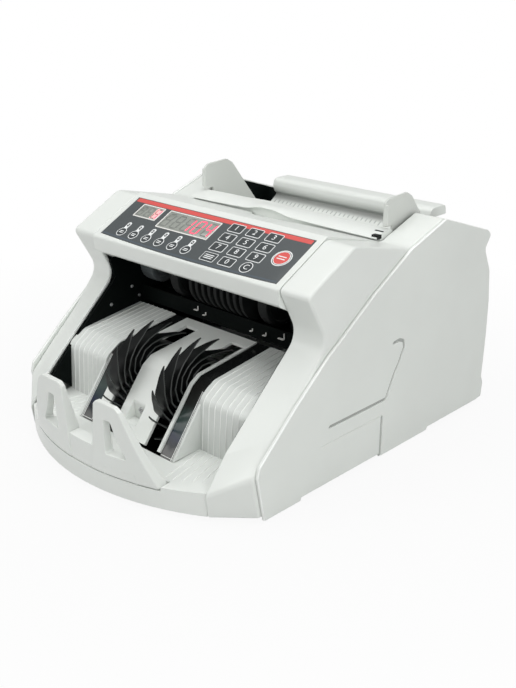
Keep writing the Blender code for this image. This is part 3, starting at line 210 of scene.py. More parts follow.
def side_slab(side, name, points, low, high, edge, steps):
    """A plate across X on one side, between two distances from the middle plane."""
    ends = sorted((side * low, side * high))
    return slab(name, points, ends[0], ends[1], "x", edge, steps)


def rectangle(low, high, radius, steps):
    """The outline of a rectangle with rounded corners."""
    corners = ((low[0], low[1]), (high[0], low[1]), (high[0], high[1]), (low[0], high[1]))
    return outline([(*corner, radius) for corner in corners], steps)


def block(name, low, high, edge=0.4, steps=2):
    return slab(name, rectangle(low, high, edge, 2), low[2], high[2], "z", edge, steps)


def lathe(name, profile, centre=(0, 0), count=48, axis="x"):
    """A turned solid. The profile, or what it gives for a step, is (place along the axis, radius), closed."""
    rings = []
    for step in range(count):
        a = math.tau * step / count
        c, s = math.cos(a), math.sin(a)
        line = profile(step) if callable(profile) else profile
        rings.append([PLACE[axis](centre[0] + r * c, centre[1] + r * s, x) for x, r in line])
    return loft(name, rings, loop=True)


def put(target, **values):
    """Sets an item's own values, named in small letters, and a node's sockets, with _ for a space."""
    for key, value in values.items():
        if key[0].islower():
            setattr(target, key, value)
        else:
            target.inputs[key.replace("_", " ")].default_value = value


def modify(made, kind, **values):
    put(made.modifiers.new(kind, kind), **values)


def settle(made):
    """Turns an object's modifiers into its mesh."""
    bpy.context.view_layer.update()
    graph = bpy.context.evaluated_depsgraph_get()
    mesh = bpy.data.meshes.new_from_object(made.evaluated_get(graph))
    made.modifiers.clear()
    made.data = mesh


def cut(made, helper):
    """Takes a helper's shape out of an object."""
    modify(made, "BOOLEAN", object=helper, operation="DIFFERENCE", solver="EXACT")
    settle(made)
    bpy.data.objects.remove(helper)


def merged(name, pieces):
    """Several objects as one mesh."""
    mesh_data = bmesh.new()
    for one in pieces:
        mesh_data.from_mesh(one.data)
        bpy.data.objects.remove(one)
    return made_object(name, mesh_data)


def weld(made):
    modify(made, "WELD", merge_threshold=0.000002)


def bevel(made, width, segments, angle):
    limit = math.radians(angle)
    modify(made, "BEVEL", width=width * MM, segments=segments, limit_method="ANGLE", angle_limit=limit)


def edged(made, width, segments, angle):
    bevel(made, width, segments, angle)
    settle(made)


def soften(made):
    """Smooth shading that keeps flat faces flat."""
    for face in made.data.polygons:
        face.use_smooth = True
    modify(made, "WEIGHTED_NORMAL", keep_sharp=True)


def dress(made, look, body="chassis", nodes=(), angle=38, others=()):
    """Gives a piece its material, shading and body."""
    marks = [face.material_index for face in made.data.polygons]
    made.data.materials.clear()
    for one in (look, *others):
        made.data.materials.append(one)
    made.data.polygons.foreach_set("material_index", marks if others else [0] * len(marks))
    soften(made)
    made.data.set_sharp_from_angle(angle=math.radians(angle))
    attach(made, body)
    if nodes:
        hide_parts(*nodes)


# Materials

def tree_of(name):
    made = bpy.data.materials.new(name)
    made.use_nodes = True
    tree = made.node_tree
    return made, tree, tree.nodes["Principled BSDF"]


def node(tree, kind, **values):
    made = tree.nodes.new("ShaderNode" + kind)
    put(made, **values)
    return made


def wire(source, target, into):
    """Links an output socket to an input of a node."""
    source.id_data.links.new(source, target.inputs[into])


def coordinates(tree, stretch=None):
    """The object's own coordinates, stretched where asked."""
    where = node(tree, "TexCoord").outputs["Object"]
    if stretch is None:
        return where
    mapped = node(tree, "Mapping", Scale=stretch)
    wire(where, mapped, "Vector")
    return mapped.outputs["Vector"]


def noise(tree, scale, detail, rough=0.5, stretch=None):
    made = node(tree, "TexNoise", Scale=scale, Detail=detail, Roughness=rough)
    wire(coordinates(tree, stretch), made, "Vector")
    return made.outputs["Fac"]


def ramped(tree, source, stops):
    """Colours a value by a list of (place, colour)."""
    made = node(tree, "ValToRGB")
    band = made.color_ramp.elements
    band.remove(band[-1])
    for number, (at, colour) in enumerate(stops):
        stop = band.new(at) if number else band[0]
        stop.position = at
        stop.color = (*colour, 1)
    wire(source, made, "Fac")
    return made.outputs["Color"]


def ranged(tree, source, low, high, start=0.0, end=1.0):
    """Maps a value from start and end to low and high."""
    made = node(tree, "MapRange", From_Min=start, From_Max=end, To_Min=low, To_Max=high)
    wire(source, made, "Value")
    return made.outputs["Result"]


def bumped(tree, source, shader, strength, distance):
    made = node(tree, "Bump", Strength=strength, Distance=distance)
    wire(source, made, "Height")
    wire(made.outputs["Normal"], shader, "Normal")


def scaled(colour, share, lift=0.0):
    return tuple(min(1, c * share + lift) for c in colour)


def moulded(name, colour, rough, grain=1400, depth=0.03, drift=0.03, spread=0.06, coat=0.0, specular=0.5):
    """Moulded plastic: soft colour drift, uneven gloss and a fine spark-eroded grain."""
    made, tree, shader = tree_of(name)
    fine = noise(tree, grain, 2, 0.6)
    stops = ((0.3, scaled(colour, 1 - drift)), (0.7, scaled(colour, 1 + drift * 0.6)))
    wire(ramped(tree, noise(tree, 14, 3, 0.55), stops), shader, "Base Color")
    wire(ranged(tree, fine, rough - spread, rough + spread), shader, "Roughness")
    bumped(tree, fine, shader, depth * 6, 0.00012)
    put(shader, Coat_Weight=coat, Coat_Roughness=0.12, Specular_IOR_Level=specular)
    return made


def brushed(name, colour, rough):
    """Ground steel with fine turning marks."""
    made, tree, shader = tree_of(name)
    streak = noise(tree, 220, 4, 0.7, (1, 60, 60))
    wire(ramped(tree, streak, ((0.25, scaled(colour, 0.72)), (0.75, colour))), shader, "Base Color")
    wire(ranged(tree, streak, rough - 0.08, rough + 0.12), shader, "Roughness")
    bumped(tree, streak, shader, 0.15, 0.00005)
    put(shader, Metallic=1.0)
    return made


def rubber(name, colour, rough, specular=0.5):
    """Rubber or soft plastic with dusty patches and a faint grain."""
    made, tree, shader = tree_of(name)
    dust = noise(tree, 55, 5, 0.7)
    wire(ramped(tree, dust, ((0.35, colour), (0.8, scaled(colour, 1.5, 0.004)))), shader, "Base Color")
    wire(ranged(tree, dust, rough - 0.1, rough + 0.12), shader, "Roughness")
    bumped(tree, noise(tree, 900, 2), shader, 0.12, 0.0001)
    put(shader, Specular_IOR_Level=specular)
    return made


def lit(name, colour, strength):
    """A glowing display segment, a little uneven along its length."""
    made, tree, shader = tree_of(name)
    tint = ramped(tree, noise(tree, 420, 1), ((0.3, scaled(colour, 0.82)), (0.7, colour)))
    wire(tint, shader, "Base Color")
    wire(tint, shader, "Emission Color")
    put(shader, Emission_Strength=strength, Roughness=0.3)
    return made


def fold_shaded(name, colour, spot, near, far, share):
    """Moulded plastic with a painted shade that darkens it along a fold at a spot of the side view."""
    made = moulded(name, colour, 0.42, coat=0.1, specular=0.4)
    tree = made.node_tree
    shader = tree.nodes["Principled BSDF"]
    tint = shader.inputs["Base Color"].links[0].from_socket
    away = node(tree, "VectorMath", operation="DISTANCE")
    away.inputs[1].default_value = in_frame((0, *spot))
    wire(coordinates(tree, (0, 1, 1)), away, 0)
    fade = node(tree, "MapRange", interpolation_type="SMOOTHSTEP", To_Min=share)
    put(fade, From_Min=near * MM, From_Max=far * MM)
    wire(away.outputs["Value"], fade, "Value")
    shade = node(tree, "VectorMath", operation="SCALE")
    wire(tint, shade, 0)
    wire(fade.outputs["Result"], shade, "Scale")
    wire(shade.outputs["Vector"], shader, "Base Color")
    return made


LIGHT = moulded("light_plastic_look", (0.79, 0.815, 0.785), 0.40, coat=0.18, specular=0.45)
PANEL = moulded("panel_plastic_look", (0.79, 0.818, 0.785), 0.46, 1100, 0.045, coat=0.12, specular=0.4)
ROLL_FOLD_SHADE = fold_shaded("rolled_edge_fold_shade_look", (0.79, 0.815, 0.785), (127.6, 141.2), 1.5, 7.5, 0.5)
# Painted shade: a darker copy of the light plastic for the chute blocks' faces between the highlighted ribs
CHUTE_SHADE_LOOK = moulded("chute_shade_look", (0.69, 0.715, 0.69), 0.42, coat=0.1)
# Painted shade: a darker, less glossy copy of the black plastic for black parts deep inside, where shade
# falls
SHADED_BLACK = moulded("shaded_black_look", (0.0025, 0.0042, 0.0038), 0.6, 1000, 0.04, 0.2, specular=0.07)
GUIDE_LOOK = moulded("guide_look", (0.69, 0.712, 0.68), 0.42, coat=0.1)
# Painted shade: a darker copy of the panel plastic for the groove floors
GROOVE_SHADE = moulded("groove_shade_look", (0.40, 0.42, 0.40), 0.5, 1100, 0.045)
# Painted highlight: a near-white copy of the light plastic for rib crests, panel borders, lit groove walls
# and other bright edges
PAINTED_HIGHLIGHT = moulded("painted_highlight_look", (0.95, 0.965, 0.945), 0.3, 900, 0.02, 0.02, coat=0.3)
BLACK = moulded("black_plastic_look", (0.004, 0.0058, 0.0054), 0.5, 1000, 0.05, 0.2, specular=0.2)
BLADE = rubber("blade_look", (0.003, 0.0038, 0.0038), 0.34, specular=0.13)
# Painted highlight: a lighter rubber for the blades' thin edge faces
BLADE_EDGE_HIGHLIGHT = rubber("blade_edge_highlight_look", (0.032, 0.036, 0.034), 0.35, specular=0.5)
RUBBER = rubber("rubber_look", (0.007, 0.008, 0.008), 0.6, specular=0.3)
PALE = rubber("pale_rubber_look", (0.11, 0.125, 0.13), 0.5)
STEEL = brushed("steel_look", (0.72, 0.72, 0.73), 0.28)
FILM = moulded("film_look", (0.078, 0.088, 0.092), 0.36, 700, 0.02, 0.05)
BAND = moulded("band_look", (0.085, 0.105, 0.125), 0.34, 700, 0.02, 0.05)
RED = moulded("red_print_look", (0.70, 0.10, 0.09), 0.36, 700, 0.02, 0.03)
WHITE_PRINT = moulded("white_print_look", (0.86, 0.88, 0.88), 0.4, 700, 0.01, 0.02)
KEY = moulded("key_look", (0.050, 0.057, 0.060), 0.3, 700, 0.02, 0.05)
# Pale plastic of the display rims; the same colour paints the glints of the small steel brackets
PALE_RIM_AND_GLINT = moulded("pale_rim_and_glint_look", (0.84, 0.83, 0.80), 0.4, 900, 0.02, 0.03)
GLASS = moulded("display_look", (0.33, 0.345, 0.315), 0.14, 500, 0.004, 0.06, 0.03, coat=0.5)
DIM = moulded("dim_segment_look", (0.20, 0.21, 0.195), 0.3, 700, 0.005, 0.04)
GLOW = lit("lit_segment_look", (1.0, 0.06, 0.14), 1.15)
HALO = lit("halo_look", (1.0, 0.42, 0.42), 0.55)
TICK = moulded("tick_look", (0.52, 0.54, 0.52), 0.45, drift=0.05)


def window_look():
    """Smoked sensor window: soft bands of colour by height are painted reflections of its surroundings."""
    made, tree, shader = tree_of("smoked_window_reflections_look")
    split = node(tree, "SeparateXYZ")
    wire(coordinates(tree), split, "Vector")
    wobble = node(tree, "Math", operation="MULTIPLY_ADD")
    wobble.inputs[1].default_value = 0.012
    wire(noise(tree, 60, 2), wobble, 0)
    wire(split.outputs["Z"], wobble, 2)
    tint = ramped(tree, ranged(tree, wobble.outputs["Value"], 0, 1, 0.0245, 0.075), (
        (0.0, (0.17, 0.17, 0.165)), (0.13, (0.10, 0.10, 0.10)), (0.17, (0.006, 0.010, 0.014)),
        (0.27, (0.008, 0.014, 0.04)), (0.36, (0.02, 0.035, 0.04)), (0.5, (0.045, 0.065, 0.06)),
        (0.7, (0.02, 0.022, 0.02)), (0.85, (0.012, 0.012, 0.011)), (1.0, (0.008, 0.009, 0.009)),
    ))
    wire(tint, shader, "Base Color")
    put(shader, Roughness=0.16, Specular_IOR_Level=0.3)
    return made


def board_look():
    """Circuit board: green mask with copper pads."""
    made, tree, shader = tree_of("board_look")
    cells = node(tree, "TexVoronoi", Scale=160)
    wire(coordinates(tree), cells, "Vector")
    pad, mask = (0.50, 0.38, 0.14), (0.012, 0.12, 0.045)
    stops = ((0.0, (0.55, 0.42, 0.16)), (0.08, pad), (0.1, (0.02, 0.20, 0.07)), (1.0, mask))
    wire(ramped(tree, cells.outputs["Distance"], stops), shader, "Base Color")
    put(shader, Roughness=0.4)
    return made


WINDOW_WITH_REFLECTIONS = window_look()
BOARD = board_look()
SLOT_LOOKS = {
    "light_plastic": LIGHT,
    "panel_plastic": PANEL,
    "black_plastic": BLACK,
    "smoked_window": WINDOW_WITH_REFLECTIONS,
    "black_rubber": RUBBER,
    "pale_rubber": PALE,
    "steel": STEEL,
    "overlay_film": FILM,
    "display_glass": GLASS,
    "board_green": BOARD,
}


def dress_frame():
    """Better finishes, rounded edges and smooth shading on the solids that stay in view."""
    widths = {
        0.3: ("power_inlet", "switch_frame", "fuse_holder", "display_jack", "note_path"),
        0.35: ("centre_chute_plate", "gap_knob"),
        0.4: ("power_rocker", "knob_cup"),
        0.5: ("rear_cover",),
        0.6: ("retard_block",),
        0.7: ("base_tray",),
        0.8: ("power_supply",),
        1.0: ("drive_motor",),
    }
    rounding = {name: width for width, names in widths.items() for name in names}
    for part in frame["record"]["subparts"]:
        made = frame["nodes"][part["node"]]
        made.data.materials.clear()
        # Parts deep inside take the darker black: painted shade
        deep = part["node"] in ("note_path", "retard_block")
        made.data.materials.append(SHADED_BLACK if deep else SLOT_LOOKS[part["material_slot"]])
        weld(made)
        if part["node"] in rounding:
            bevel(made, rounding[part["node"]], 2, 38)
        soften(made)


dress_frame()


# Side view places, in millimetres

BEAK = (-58.83, 137.57)
CREST = (-14.17, 161.37)
INNER_CHEEK = (
    (-123.2, 2.45, 1.5), (-125.36, 18.42, 6), (-108.1, 41.08, 8), (-75.15, 72.53, 30), (-41.58, 103.99, 14),
)
OUTER_CHEEK = (
    (-101.02, 2.45, 1.5), (-106.88, 32.93, 7), (-85.62, 53.95, 8), (-63.14, 74.98, 30), (-39.42, 103.67, 14),
)
BEAK_CORNERS = ((*BEAK, 4), (*CREST, 9), (44.35, 148.33, 14), (83.78, 161.86, 3.5))
REAR_CORNERS = (
    (141.06, 143.28, 3), (146.3, 139.04, 3), (139.22, 128.93, 5), (148.46, 110.84, 12), (151.54, 84.92, 14),
    (152.0, 53.79, 10), (150.61, 22.33, 3), (153.54, 15.97, 2), (152.46, 4.24, 1.5), (145.68, 2.45, 1.5),
)
SHARED = BEAK_CORNERS + REAR_CORNERS


def side_shell(side, word):
    """Moulded side with a softly rounded outer edge, a thin rim and an open inner side."""
    inner = outline(INNER_CHEEK + SHARED, 8)
    outer = outline(OUTER_CHEEK + SHARED, 8)
    runs = run_counts(inner)
    inner, outer = denser(inner, runs), denser(outer, runs)
    span = SHELL - OPENING
    stations = [(117.0, 2.9), (OPENING + 1, 2.6), (OPENING + 0.2, 2.3), (OPENING, 1.4)]
    stations += [(OPENING + 0.15, 0.5), (OPENING + 0.8, 0.0), (97.5, 0.0)]
    stations += [(x, 0.0) for x in range(100, 118, 3)]
    soft = 1.8
    for k in range(7):
        a = math.pi / 2 * k / 6
        stations.append((SHELL - soft * (1 - math.sin(a)), soft * (1 - math.cos(a))))
    rings = []
    for x, inward in stations:
        t = min(1, max(0, (x - OPENING) / span))
        ring = [a.lerp(b, t) for a, b in zip(inner, outer)]
        ring = inset(ring, inward) if inward else ring
        rings.append([(side * x, p.x, p.y) for p in ring])
    made = loft(f"{word}_side_shell_skin", rings)
    dress(made, LIGHT, nodes=(f"{word}_side_shell",), angle=32)


PANEL_CORNERS = (
    (-105.8, 32.93, 2), (-103.95, 40.26, 3), (-72.38, 69.11, 20), (-40.96, 94.87, 8), (-28.95, 102.69, 12),
    (5.54, 126.0, 30), (44.35, 148.33, 20), (83.78, 161.86, 4),
) + REAR_CORNERS[:-1] + (
    (145.68, 3.26, 1), (77.62, 3.26, 0.5), (77.0, 0.98, 1), (18.48, 0.98, 1), (17.86, 3.26, 0.5),
    (-64.68, 3.26, 0.5), (-65.3, 0.98, 1), (-99.79, 0.98, 1.2),
)
HOOK = (
    (28.64, 84.92), (35.11, 85.58, 3), (40.04, 83.46, 2), (41.12, 78.73, 3), (35.73, 68.46, 20),
    (30.18, 60.15, 20), (22.64, 44.99, 2.5), (-37.88, 44.83),
)
LOW_LINE = ((-45.89, 33.42), (18.4, 33.42))
LOW_STEP = ((19.0, 32.2), (19.0, -3.0))
# A face whose normal has more than this share across lies flat in the side
FLAT_SHARE = 0.93


def groove(side, line, width, deep):
    """A round-ended cutter along a line of the side view."""
    path = track(line, 5)
    left, right = shifted(path, -width / 2), shifted(path, width / 2)
    tip = path[-1] + (path[-1] - path[-2]).normalized() * width / 2
    tail = path[0] + (path[0] - path[1]).normalized() * width / 2
    return side_slab(side, "groove", left + [tip] + right[::-1] + [tail], HALF - deep, HALF + 3, 0.01, 1)


def side_panel(side, word):
    """Raised panel with three moulded grooves. Its front border and the grooves' lit walls carry a painted
    highlight, and the groove floors a painted shade.
    """
    made = side_slab(side, f"{word}_side_panel_skin", outline(PANEL_CORNERS, 5), HALF - 2.5, HALF, 0.8, 4)
    for line, width, deep in ((HOOK, 2.4, 0.95), (LOW_LINE, 0.7, 0.4), (LOW_STEP, 2.4, 0.95)):
        cut(made, groove(side, line, width, deep))
    edged(made, 0.3, 3, 50)
    # Painted light: the front border and lit groove walls take the highlight colour, the groove floors the
    # shade colour
    for face in made.data.polygons:
        across, depth = abs(face.normal.x), HALF - abs(face.center.x) / MM
        border = 0.12 < across and face.normal.y < -0.1
        lit_wall = 0.02 < depth < 0.97 and face.normal.z - face.normal.y > 0.1
        if across < FLAT_SHARE and (border or lit_wall):
            face.material_index = 1
        if across > FLAT_SHARE and 0.6 < depth < 1.2:
            face.material_index = 2
    nodes = (f"{word}_side_panel",)
    dress(made, PANEL, nodes=nodes, angle=40, others=(PAINTED_HIGHLIGHT, GROOVE_SHADE))


for side, word in SIDES:
    side_shell(side, word)
    side_panel(side, word)


# Black side walls inside

WALL_CORNERS = (
    (-88.6, 22.9), (-106.1, 37.9, 1), (-95.6, 48.7, 8), (-73.4, 69.8, 20), (-61.9, 80.8, 20),
    (-41.4, 100.7, 3), (-43.0, 106.4, 4), (-46.0, 116.8, 2), (45.3, 117.4), (45.3, 145.1), (99.0, 145.1),
    (99.5, 155.2, 1), (104.0, 154.2, 10), (137.1, 143.4, 3), (138.4, 138.6, 2), (137.1, 125.5),
    (137.1, 16.0), (-88.4, 16.0),
)
WALL_SCREW = ((92.9, 0.0), (92.2, 0.0), (92.0, 0.7), (92.25, 1.3), (92.9, 1.5))
for side, word in SIDES:
    wall = side_slab(side, f"{word}_inner_wall", outline(WALL_CORNERS, 5), 92.8, 94.8, 0.2, 2)
    dress(wall, SHADED_BLACK, nodes=(f"{word}_side_frame",))
    profile = [(side * x, r + 0.02) for x, r in WALL_SCREW]
    heads = [lathe("head", profile, spot, 16) for spot in ((-25.7, 90.0), (-18.7, 81.0), (-46.9, 79.9))]
    dress(merged(f"{word}_wall_screws", heads), STEEL)


# Stacking wheels

IMPELLER = (-73.15, 49.2)
TRANSPORT = (-3.696, 106.602)

# Radius and angle in degrees along a blade, from its tip inwards
BLADE_LINE = (
    (42.9, 0), (41.4, 2.6), (39.6, 5.6), (36.9, 10.6), (34.1, 16.2), (32.4, 21), (30.9, 26.8), (29.4, 32.2),
    (28, 37.4), (26.8, 43.5), (25.6, 49.4), (22.9, 64.5), (17.5, 86), (10.5, 111),
)
# Half a blade's thickness at its tip, the gain towards the hub and the length that it takes
TIP_HALF, HUB_GAIN, GAIN_LENGTH = 0.42, 0.16, 30
# The slanting cut: its start beyond the tip, its length and its curve
CUT_START, CUT_LENGTH, CUT_CURVE = 1.2, 25, 0.85
# Sides of a blade's section that are its broad faces
BROAD_SIDES = (1, 5)


def impeller(word, middle):
    """A hub with curved blades, each cut back slantwise to a point."""
    wide, blades, first = 11.0, 15, 59.5
    low, high = middle - wide / 2, middle + wide / 2
    flat = [turned(Vector((r, 0)), math.radians(a)) for r, a in BLADE_LINE]
    travelled = [0.0]
    for one, two in zip(flat, flat[1:]):
        travelled.append(travelled[-1] + (two - one).length)
    pieces = []
    for blade in range(blades):
        points = [turned(p, math.radians(first + 360 / blades * blade)) for p in flat]
        rings = []
        for number, spot in enumerate(points):
            way = (points[min(number + 1, len(points) - 1)] - points[max(number - 1, 0)]).normalized()
            thick = TIP_HALF + HUB_GAIN * min(1, travelled[number] / GAIN_LENGTH)
            left = high - wide * min(1, (travelled[number] + CUT_START) / CUT_LENGTH) ** CUT_CURVE
            soft = min(0.25, (high - left) / 4)
            section = (
                (left, 0.5), (left + soft, 1), (high - soft, 1), (high, 0.5),
                (high, -0.5), (high - soft, -1), (left + soft, -1), (left, -0.5),
            )
            spot, normal = Vector(IMPELLER) + spot, Vector((-way.y, way.x)) * thick
            rings.append([(x, *(spot + normal * h)) for x, h in section])
        made = loft("blade", rings)
        # The thin edge faces take the lighter rubber: painted highlight
        for face in made.data.polygons[:8 * (len(rings) - 1)]:
            if face.index % 8 not in BROAD_SIDES:
                face.material_index = 1
        pieces.append(made)
    hub = ((low - 0.3, 4.3), (low - 0.3, 10.9), (low + 0.1, 11.6), (low + 1.6, 12))
    hub += ((high - 1.6, 12), (high - 0.1, 11.6), (high + 0.3, 10.9), (high + 0.3, 4.3))
    collar = ((low - 0.28, 4.3), (low - 0.28, 6.6), (low + 0.4, 6.9), (high + 0.2, 6.9), (high + 0.28, 4.3))
    pieces += [lathe("hub", hub, IMPELLER, 40), lathe("collar", collar, IMPELLER, 32)]
    made = merged(f"{word}_stacking_wheel", pieces)
    nodes = (f"{word}_impeller",)
    dress(made, BLADE, "impeller", nodes, angle=42, others=(BLADE_EDGE_HIGHLIGHT,))


impeller("left", -21)
impeller("right", 28)


# Transport roller, discs and outer wheels

def ribbed_roller():
    half, rings, outer, groove_radius = 28.0, 9, 20.0, 17.0
    pitch = 2 * half / (2 * rings - 1)
    profile = [(-half, 4.3)]
    for number in range(rings):
        low = -half + 2 * pitch * number
        high = low + pitch
        if number:
            profile.append((low, groove_radius))
        profile += [(low, outer - 0.7), (low + 0.2, outer - 0.2), (low + 0.7, outer)]
        profile += [(high - 0.7, outer), (high - 0.2, outer - 0.2), (high, outer - 0.7)]
        if number < rings - 1:
            profile.append((high, groove_radius))
    profile.append((half, 4.3))
    made = lathe("ribbed_roller", profile, TRANSPORT, 64)
    dress(made, RUBBER, "transport", ("transport_roller",), angle=35)


def tyre(name, middle, width, radius, look, nodes, lug):
    """A wheel with a rounded tread, a recess in each side and fine cross grooves."""
    half = width / 2

    def profile(step):
        sunk = 0 if step % 3 else lug
        line = [(half, 4.3), (half, 7.5), (half - 0.8, 8.2), (half - 0.8, radius - 4.5), (half, radius - 3.6)]
        line += [(half, radius - 1.2), (half - 0.4, radius - 0.4 - sunk), (half - 1.2, radius - sunk)]
        return [(middle - x, r) for x, r in line] + [(middle + x, r) for x, r in line[::-1]]

    dress(lathe(name, profile, TRANSPORT, 96), look, "transport", nodes, angle=30)


ribbed_roller()
for side, word in SIDES:
    tyre(f"{word}_drive_disc", side * 46, 9, 19, RUBBER, (f"{word}_transport_disc",), 0.0)
    tyre(f"{word}_pinch_wheel", side * 84, 14, 14.5, PALE, (f"{word}_grip_wheel",), 0.25)


# Chute

CHUTE = ((-89.01, 22.35), (-86.86, 59.01, 9), (-73.46, 67.81, 9), (-18.02, 75.47))
SLANT = ((-112.6, 21.0), (-81.16, 62.76, 4), (-73.46, 67.81, 4), (-18.02, 75.47))


def crest_line(side, line, x, wide, tall):
    """A thin raised line that follows a track of the side view."""
    root, mid, top = shifted(line, 0.1), shifted(line, -tall * 0.7), shifted(line, -tall)
    rings = []
    for low, middle, high in zip(root, mid, top):
        spots = ((-1, low), (-0.75, middle), (-0.3, high), (0.3, high), (0.75, middle), (1, low))
        rings.append([(side * (x + share * wide / 2), p.x, p.y) for share, p in spots])
    return loft("line", rings)


def bead(start, end, wide, tall, up=(0, 0, 1)):
    """A thin half round ridge between two points."""
    start, end, up = Vector(start), Vector(end), Vector(up).normalized()
    way = (end - start).normalized()
    across = way.cross(up).normalized()
    section = ((-1, -0.3), (-0.8, 0.5), (-0.35, 0.95), (0.35, 0.95), (0.8, 0.5), (1, -0.3))
    rings = []
    for spot, share in ((start, 0.2), (start + way * 0.4, 1), (end - way * 0.4, 1), (end, 0.2)):
        rings.append([spot + across * wide / 2 * u * share + up * tall * v * share for u, v in section])
    return loft("bead", rings)


# Length and sideways lean of the stacking floor's ribs, from the inside out
FLOOR_RIBS = ((36.5, 5.4), (36.0, 6.0), (33.5, 6.2), (29.5, 6.3), (25.5, 6.5))
FLOOR_FRONT, FLOOR_REAR = (-150.92, 17.44), (-89.01, 22.5)


def floor_at(y):
    """Height of the stacking floor."""
    (front, low), (rear, high) = FLOOR_FRONT, FLOOR_REAR
    return low + (high - low) * (y - front) / (rear - front)


def chute_block(side, word):
    """Side block whose thin rounded ribs run up the face and back over the top."""
    path = track(CHUTE, 8)
    ribs = 7
    low, high = 52.0, 90.5
    spots = [low + (high - low) * (number + 0.5) / ribs for number in range(ribs)]
    stations = [(50.0, -0.9), (50.25, -0.3), (50.9, 0.0)]
    for spot in spots:
        stations += [(spot - 1.1, 0.0), (spot - 0.4, 0.22), (spot + 0.4, 0.22), (spot + 1.1, 0.0)]
    stations += [(94.7, 0.0)]
    rings = []
    back = shifted(path, 2.0)
    for x, lift in stations:
        front = shifted(path, -lift) if lift else path
        rings.append([(side * x, p.x, p.y) for p in front + back[::-1]])
    block_skin = loft("chute_block", rings)
    middle = path[len(path) // 2]
    foot, shoulder = SLANT[0], SLANT[1][:2]
    corners = ((*foot, 0.3), (*shoulder, 3), (*middle, 1), (CHUTE[0][0] + 1, CHUTE[0][1] - 0.3, 0.3))
    gusset = side_slab(side, "gusset", outline(corners, 4), 50, 52, 0.45, 3)
    made = merged(f"{word}_ribbed_chute", [block_skin, gusset])
    dress(made, CHUTE_SHADE_LOOK, nodes=(f"{word}_chute_block",), angle=40)
    # The rib crests and the floor ribs take the highlight colour: painted highlight
    lines = [crest_line(side, path, spot, 0.75, 0.55) for spot in spots]
    dress(merged(f"{word}_rib_crests", lines), PAINTED_HIGHLIGHT, angle=60)
    floor_ribs = []
    start = -90.2
    for x, (length, lean) in zip(spots, FLOOR_RIBS):
        line = ((x, start), (x + lean, start - length))
        ends = [(side * across, y, floor_at(y) - 0.02) for across, y in line]
        floor_ribs.append(bead(*ends, 0.75, 0.4))
    dress(merged(f"{word}_floor_ribs", floor_ribs), PAINTED_HIGHLIGHT, angle=60)


def slot_window(side, word):
    """Dark glossy window that lies between the centre plate and the gusset of a side block."""
    line = track(SLANT, 6)
    front, back = shifted(line, 0.7), shifted(line, 2.7)
    rings = []
    for x, sunk in ((37.5, 0.3), (37.8, 0.0), (49.5, 0.0), (49.8, 0.3)):
        face = [p.lerp(q, sunk / 2) for p, q in zip(front, back)]
        rings.append([(side * x, p.x, p.y) for p in face + back[::-1]])
    strip = loft(f"{word}_window_strip", rings)
    dress(strip, WINDOW_WITH_REFLECTIONS, nodes=(f"{word}_slot_window",), angle=40)
    # The window's foot lines and sill take the highlight colour: painted highlight
    low_line = track((SLANT[0], (-81.16, 62.76)), 4)
    foot_line = [low_line[0].lerp(low_line[1], share) for share in (0, 0.25, 0.5, 0.75, 0.97)]
    lines = [crest_line(side, shifted(foot_line, 0.7), x, 0.4, 0.35) for x in (48.2, 49.3)]
    sill = [(side * x, SLANT[0][0] + 1.3, 21.7) for x in (37.8, 49.6)]
    lines.append(bead(*sill, 0.5, 0.5, (0, -0.6, 0.8)))
    dress(merged(f"{word}_window_lines", lines), PAINTED_HIGHLIGHT, angle=60)


for side, word in SIDES:
    chute_block(side, word)
    slot_window(side, word)


def wheel_well():
    """Dark lining under the stacking wheels, and the screw pocket of the centre plate with its screw."""
    boxes = (((-49.6, -112.0, 5.1), (49.6, -18.0, 5.7)), ((-49.6, -113.4, 5.1), (49.6, -112.6, 18.2)))
    lining = [block("lining", low, high, 0.1, 1) for low, high in boxes]
    dress(merged("well_lining", lining), BLACK)
    walls = [block("pocket_floor", (-6.6, -105.6, 28.5), (6.6, -96.8, 29.8), 0.2)]
    cheek = outline(((-105.6, 28.5, 0.3), (-94.4, 28.5, 0.3), (-94.4, 42.6, 0.3), (-96.3, 41.0, 0.3)), 2)
    walls += [slab("pocket_wall", cheek, x - 0.4, x + 0.4, "x", 0.1, 1) for x in (-6.95, 6.95)]
    dress(merged("pocket_lining", walls), LIGHT)
    ring = [(-96.7, 0.9), (-97.3, 0.9), (-97.7, 1.2), (-97.8, 1.7), (-97.5, 2.3), (-96.7, 2.4)]
    dress(lathe("pocket_screw", ring, (1.0, 36.8), 24, "y"), STEEL)


wheel_well()


# Place across, height and size of the small brackets
TABS = ((-26.0, 85.0, 1.9), (-17.0, 83.0, 1.3), (32.0, 83.2, 1.1), (45.0, 83.2, 1.4), (61.0, 85.0, 2.7))


def path_brackets():
    """Small sheet brackets in front of the note path, in a pale colour that paints their glints."""
    tabs = []
    for x, z, size in TABS:
        tabs.append(block("tab", (x - size, -19.6, z - 0.6), (x + size, -17.6, z), 0.12, 1))
        tabs.append(block("tab", (x + size - 0.7, -18.4, z), (x + size, -17.6, z + size * 1.5), 0.12, 1))
    dress(merged("path_brackets", tabs), PALE_RIM_AND_GLINT)


path_brackets()


# Stacker plate

BOW_CENTRE = 34.0
BOW = 183.5


def bow(x):
    """Place of the base's bowed front."""
    return BOW_CENTRE - math.sqrt(BOW * BOW - x * x)


